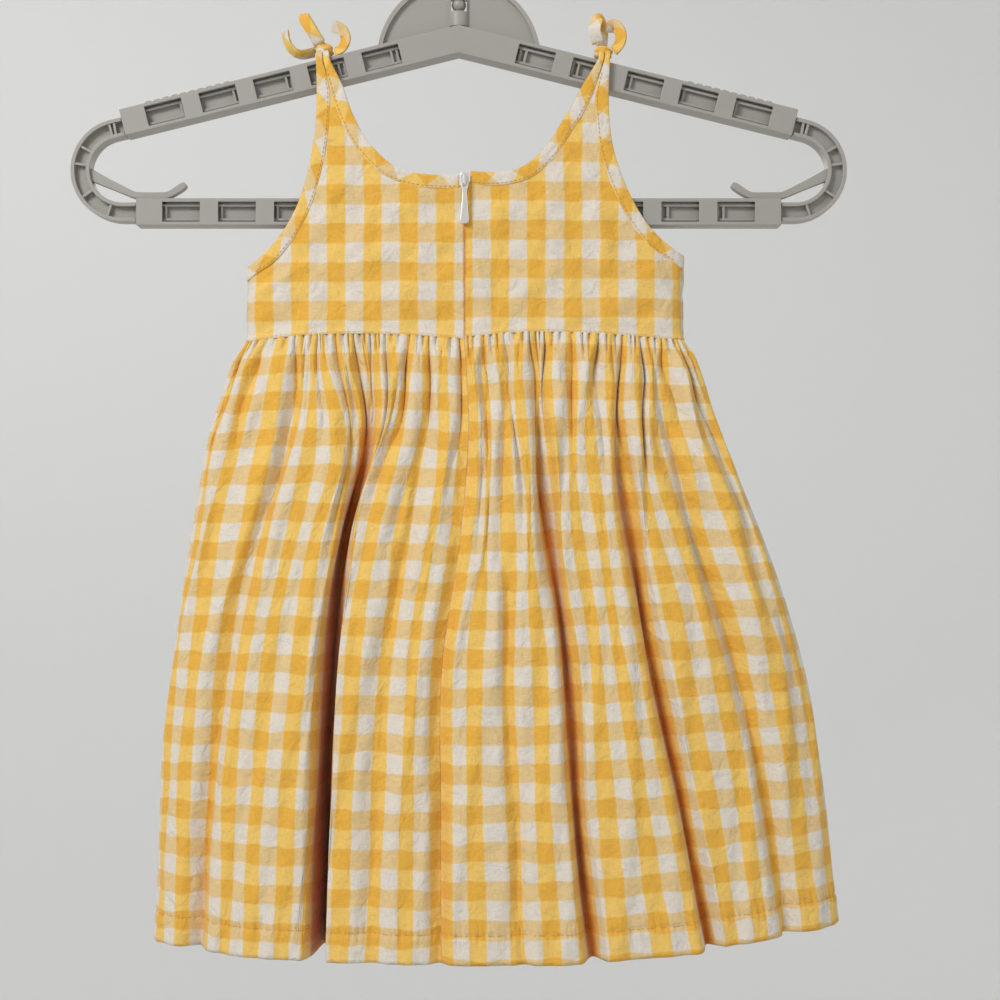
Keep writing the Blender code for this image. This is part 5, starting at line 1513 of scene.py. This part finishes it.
def tooth_tree():
    """Sets a tooth at each pitch along a line, to one side and the other in turn."""
    tree = bpy.data.node_groups.new("zip_teeth", "GeometryNodeTree")
    tree_socket(tree, "Line", "NodeSocketGeometry", "INPUT")
    sockets = {"Pitch": tree_socket(tree, "Pitch", "NodeSocketFloat", "INPUT", TOOTH_PITCH * MM),
               "Metal": tree_socket(tree, "Metal", "NodeSocketMaterial", "INPUT")}
    tree_socket(tree, "Teeth", "NodeSocketGeometry", "OUTPUT")
    given = tree.nodes.new("NodeGroupInput").outputs
    line = add_node(tree, "GeometryNodeMeshToCurve", (("Mesh", given["Line"]),))
    spaced = add_node(tree, "GeometryNodeResampleCurve",
                      (("Curve", line.outputs[0]), ("Length", given["Pitch"])), mode="LENGTH")
    order = tree.nodes.new("GeometryNodeInputIndex")
    other = add_node(tree, "ShaderNodeMath", ((0, order.outputs[0]), (1, 2.0)),
                     operation="MODULO")
    aside = add_node(tree, "ShaderNodeMath",
                     ((0, other.outputs[0]), (1, 2 * TOOTH_SHIFT * MM), (2, -TOOTH_SHIFT * MM)),
                     operation="MULTIPLY_ADD")
    shift = add_node(tree, "ShaderNodeCombineXYZ", ((0, aside.outputs[0]),))
    moved = add_node(tree, "GeometryNodeSetPosition",
                     (("Geometry", spaced.outputs[0]), ("Offset", shift.outputs[0])))
    tooth = add_node(tree, "GeometryNodeMeshCube",
                     (("Size", [side * MM for side in TOOTH_SIZE]),))
    placed = add_node(tree, "GeometryNodeInstanceOnPoints",
                      (("Points", moved.outputs[0]), ("Instance", tooth.outputs[0])))
    real = add_node(tree, "GeometryNodeRealizeInstances", (("Geometry", placed.outputs[0]),))
    coloured = add_node(tree, "GeometryNodeSetMaterial",
                        (("Geometry", real.outputs[0]), ("Material", given["Metal"])))
    tree.links.new(coloured.outputs[0], tree.nodes.new("NodeGroupOutput").inputs["Teeth"])
    return tree, sockets


teeth_mesh = bpy.data.meshes.new("zip_teeth")
teeth_y = (-CHAIN_BACK + CHAIN_THICKNESS + 0.2) * MM
teeth_mesh.from_pydata([(CENTRE_BACK * MM, teeth_y, (ZIP_TOP_Z - 2.0) * MM),
                        (CENTRE_BACK * MM, teeth_y, (ZIP_FOOT_Z + 2.0) * MM)], [(0, 1)], [])
teeth = new_piece("zip_teeth", teeth_mesh)
tooth_group, tooth_sockets = tooth_tree()
toothing = teeth.modifiers.new("teeth", "NODES")
toothing.node_group = tooth_group
toothing[tooth_sockets["Metal"]] = silver
settled(teeth)
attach(teeth, "dress")

slider_body = plate("slider_body", both_sides(SLIDER_BODY), PULL_AXIS_Y + 1.0,
                    -(BODICE_DEPTH + 0.5 + 0.3), silver)
bridge = plate("slider_bridge", [(PULL_AXIS_Y + y, PULL_AXIS_Z + z) for y, z in BRIDGE_PROFILE],
               -BRIDGE_HALF, BRIDGE_HALF, silver)
for corner in bridge.data.vertices:
    x, y, z = corner.co
    corner.co = (CENTRE_BACK * MM + y, x, z)
bridge.data.flip_normals()
finished(rounded(merged("zip_slider_metal", [slider_body, bridge]), 0.22), ["zip_slider"])
pull_outline = [(x, PULL_AXIS_Z + z) for x, z in both_sides(PULL_OUTLINE)]
eye_outline = [(x, PULL_AXIS_Z + z) for x, z in both_sides(PULL_EYE)]
pull = plate("zip_pull_metal", pull_outline, PULL_AXIS_Y - PULL_HALF_DEPTH,
             PULL_AXIS_Y + PULL_HALF_DEPTH, silver)
eye = plate("pull_eye", eye_outline, PULL_AXIS_Y - 5.0, PULL_AXIS_Y + 5.0, silver)
finished(cut_away(pull, [eye], 0.3), ["zip_pull"], "zip_pull")

# The room is a plain pale cove, lit softly from the upper left, and the camera
# stands a metre away, level with the middle of the dress.
COVE_PROFILE = ((0.0, -1.9), (2.0, -1.9), (2.5, -1.76), (2.72, -1.4), (2.8, -0.7), (2.8, 2.6))
COVE_SIDES = 64
SKY_COLOUR = (0.95, 0.97, 1.0, 1.0)
SKY_STRENGTH = 0.36

room = bmesh.new()
rings = []
for radius, height in COVE_PROFILE:
    rings.append([room.verts.new((radius * math.cos(turn), radius * math.sin(turn), height))
                  for turn in np.linspace(0, 2 * math.pi, COVE_SIDES, endpoint=False)]
                 if radius else [room.verts.new((0.0, 0.0, height))])
for low, high in zip(rings, rings[1:]):
    for at in range(COVE_SIDES):
        beside = (at + 1) % COVE_SIDES
        if len(low) == 1:
            room.faces.new((low[0], high[at], high[beside]))
        else:
            room.faces.new((low[at], high[at], high[beside], low[beside]))
for face in room.faces:
    face.smooth = True
shell_piece("cove", room, plain_finish("pale_wall", (0.80, 0.80, 0.79), 0.9))

Lamp = namedtuple("Lamp", "name place aim size watts colour")
LAMPS = (
    Lamp("key", (-1.1, -1.5, 0.8), (0.0, 0.0, -0.3), 0.7, 26.5, (1.0, 0.98, 0.95)),
    Lamp("fill", (1.4, -1.6, -0.1), (0.0, 0.0, -0.35), 1.6, 3.2, (0.97, 0.98, 1.0)),
    Lamp("top", (0.1, 0.2, 1.6), (0.0, 0.0, -0.3), 1.6, 7.0, (1.0, 1.0, 1.0)),
    Lamp("wall", (-0.7, 0.9, 0.9), (-0.6, 2.7, -0.5), 1.2, 11.0, (1.0, 1.0, 1.0)),
    Lamp("behind", (-0.3, 1.7, 0.6), (0.0, 0.0, -0.35), 1.6, 12.0, (1.0, 1.0, 1.0)),
)
for lamp in LAMPS:
    light = bpy.data.lights.new(lamp.name, "AREA")
    light.energy = lamp.watts
    light.size = lamp.size
    light.color = lamp.colour
    holder = bpy.data.objects.new(lamp.name, light)
    bpy.context.collection.objects.link(holder)
    holder.location = lamp.place
    holder.rotation_mode = "QUATERNION"
    holder.rotation_quaternion = (Vector(lamp.aim) - Vector(lamp.place)).to_track_quat("-Z", "Y")
world = bpy.data.worlds.new("room_light")
world.use_nodes = True
sky = world.node_tree.nodes["Background"]
sky.inputs["Color"].default_value = SKY_COLOUR
sky.inputs["Strength"].default_value = SKY_STRENGTH
bpy.context.scene.world = world
bpy.context.scene.view_settings.view_transform = "Standard"

CAMERA_X = 23.0
CAMERA_Z = -348.3
CAMERA_DISTANCE = 1000.0
FIELD_WIDTH = 560.0
SENSOR = 36.0
camera_data = bpy.data.cameras.new("camera")
camera_data.sensor_width = SENSOR
camera_data.lens = SENSOR * CAMERA_DISTANCE / FIELD_WIDTH
camera = bpy.data.objects.new("camera", camera_data)
bpy.context.collection.objects.link(camera)
camera.location = Vector((CAMERA_X, -CAMERA_DISTANCE, CAMERA_Z)) * MM
camera.rotation_euler = (math.radians(90.0), 0.0, 0.0)
bpy.context.scene.camera = camera
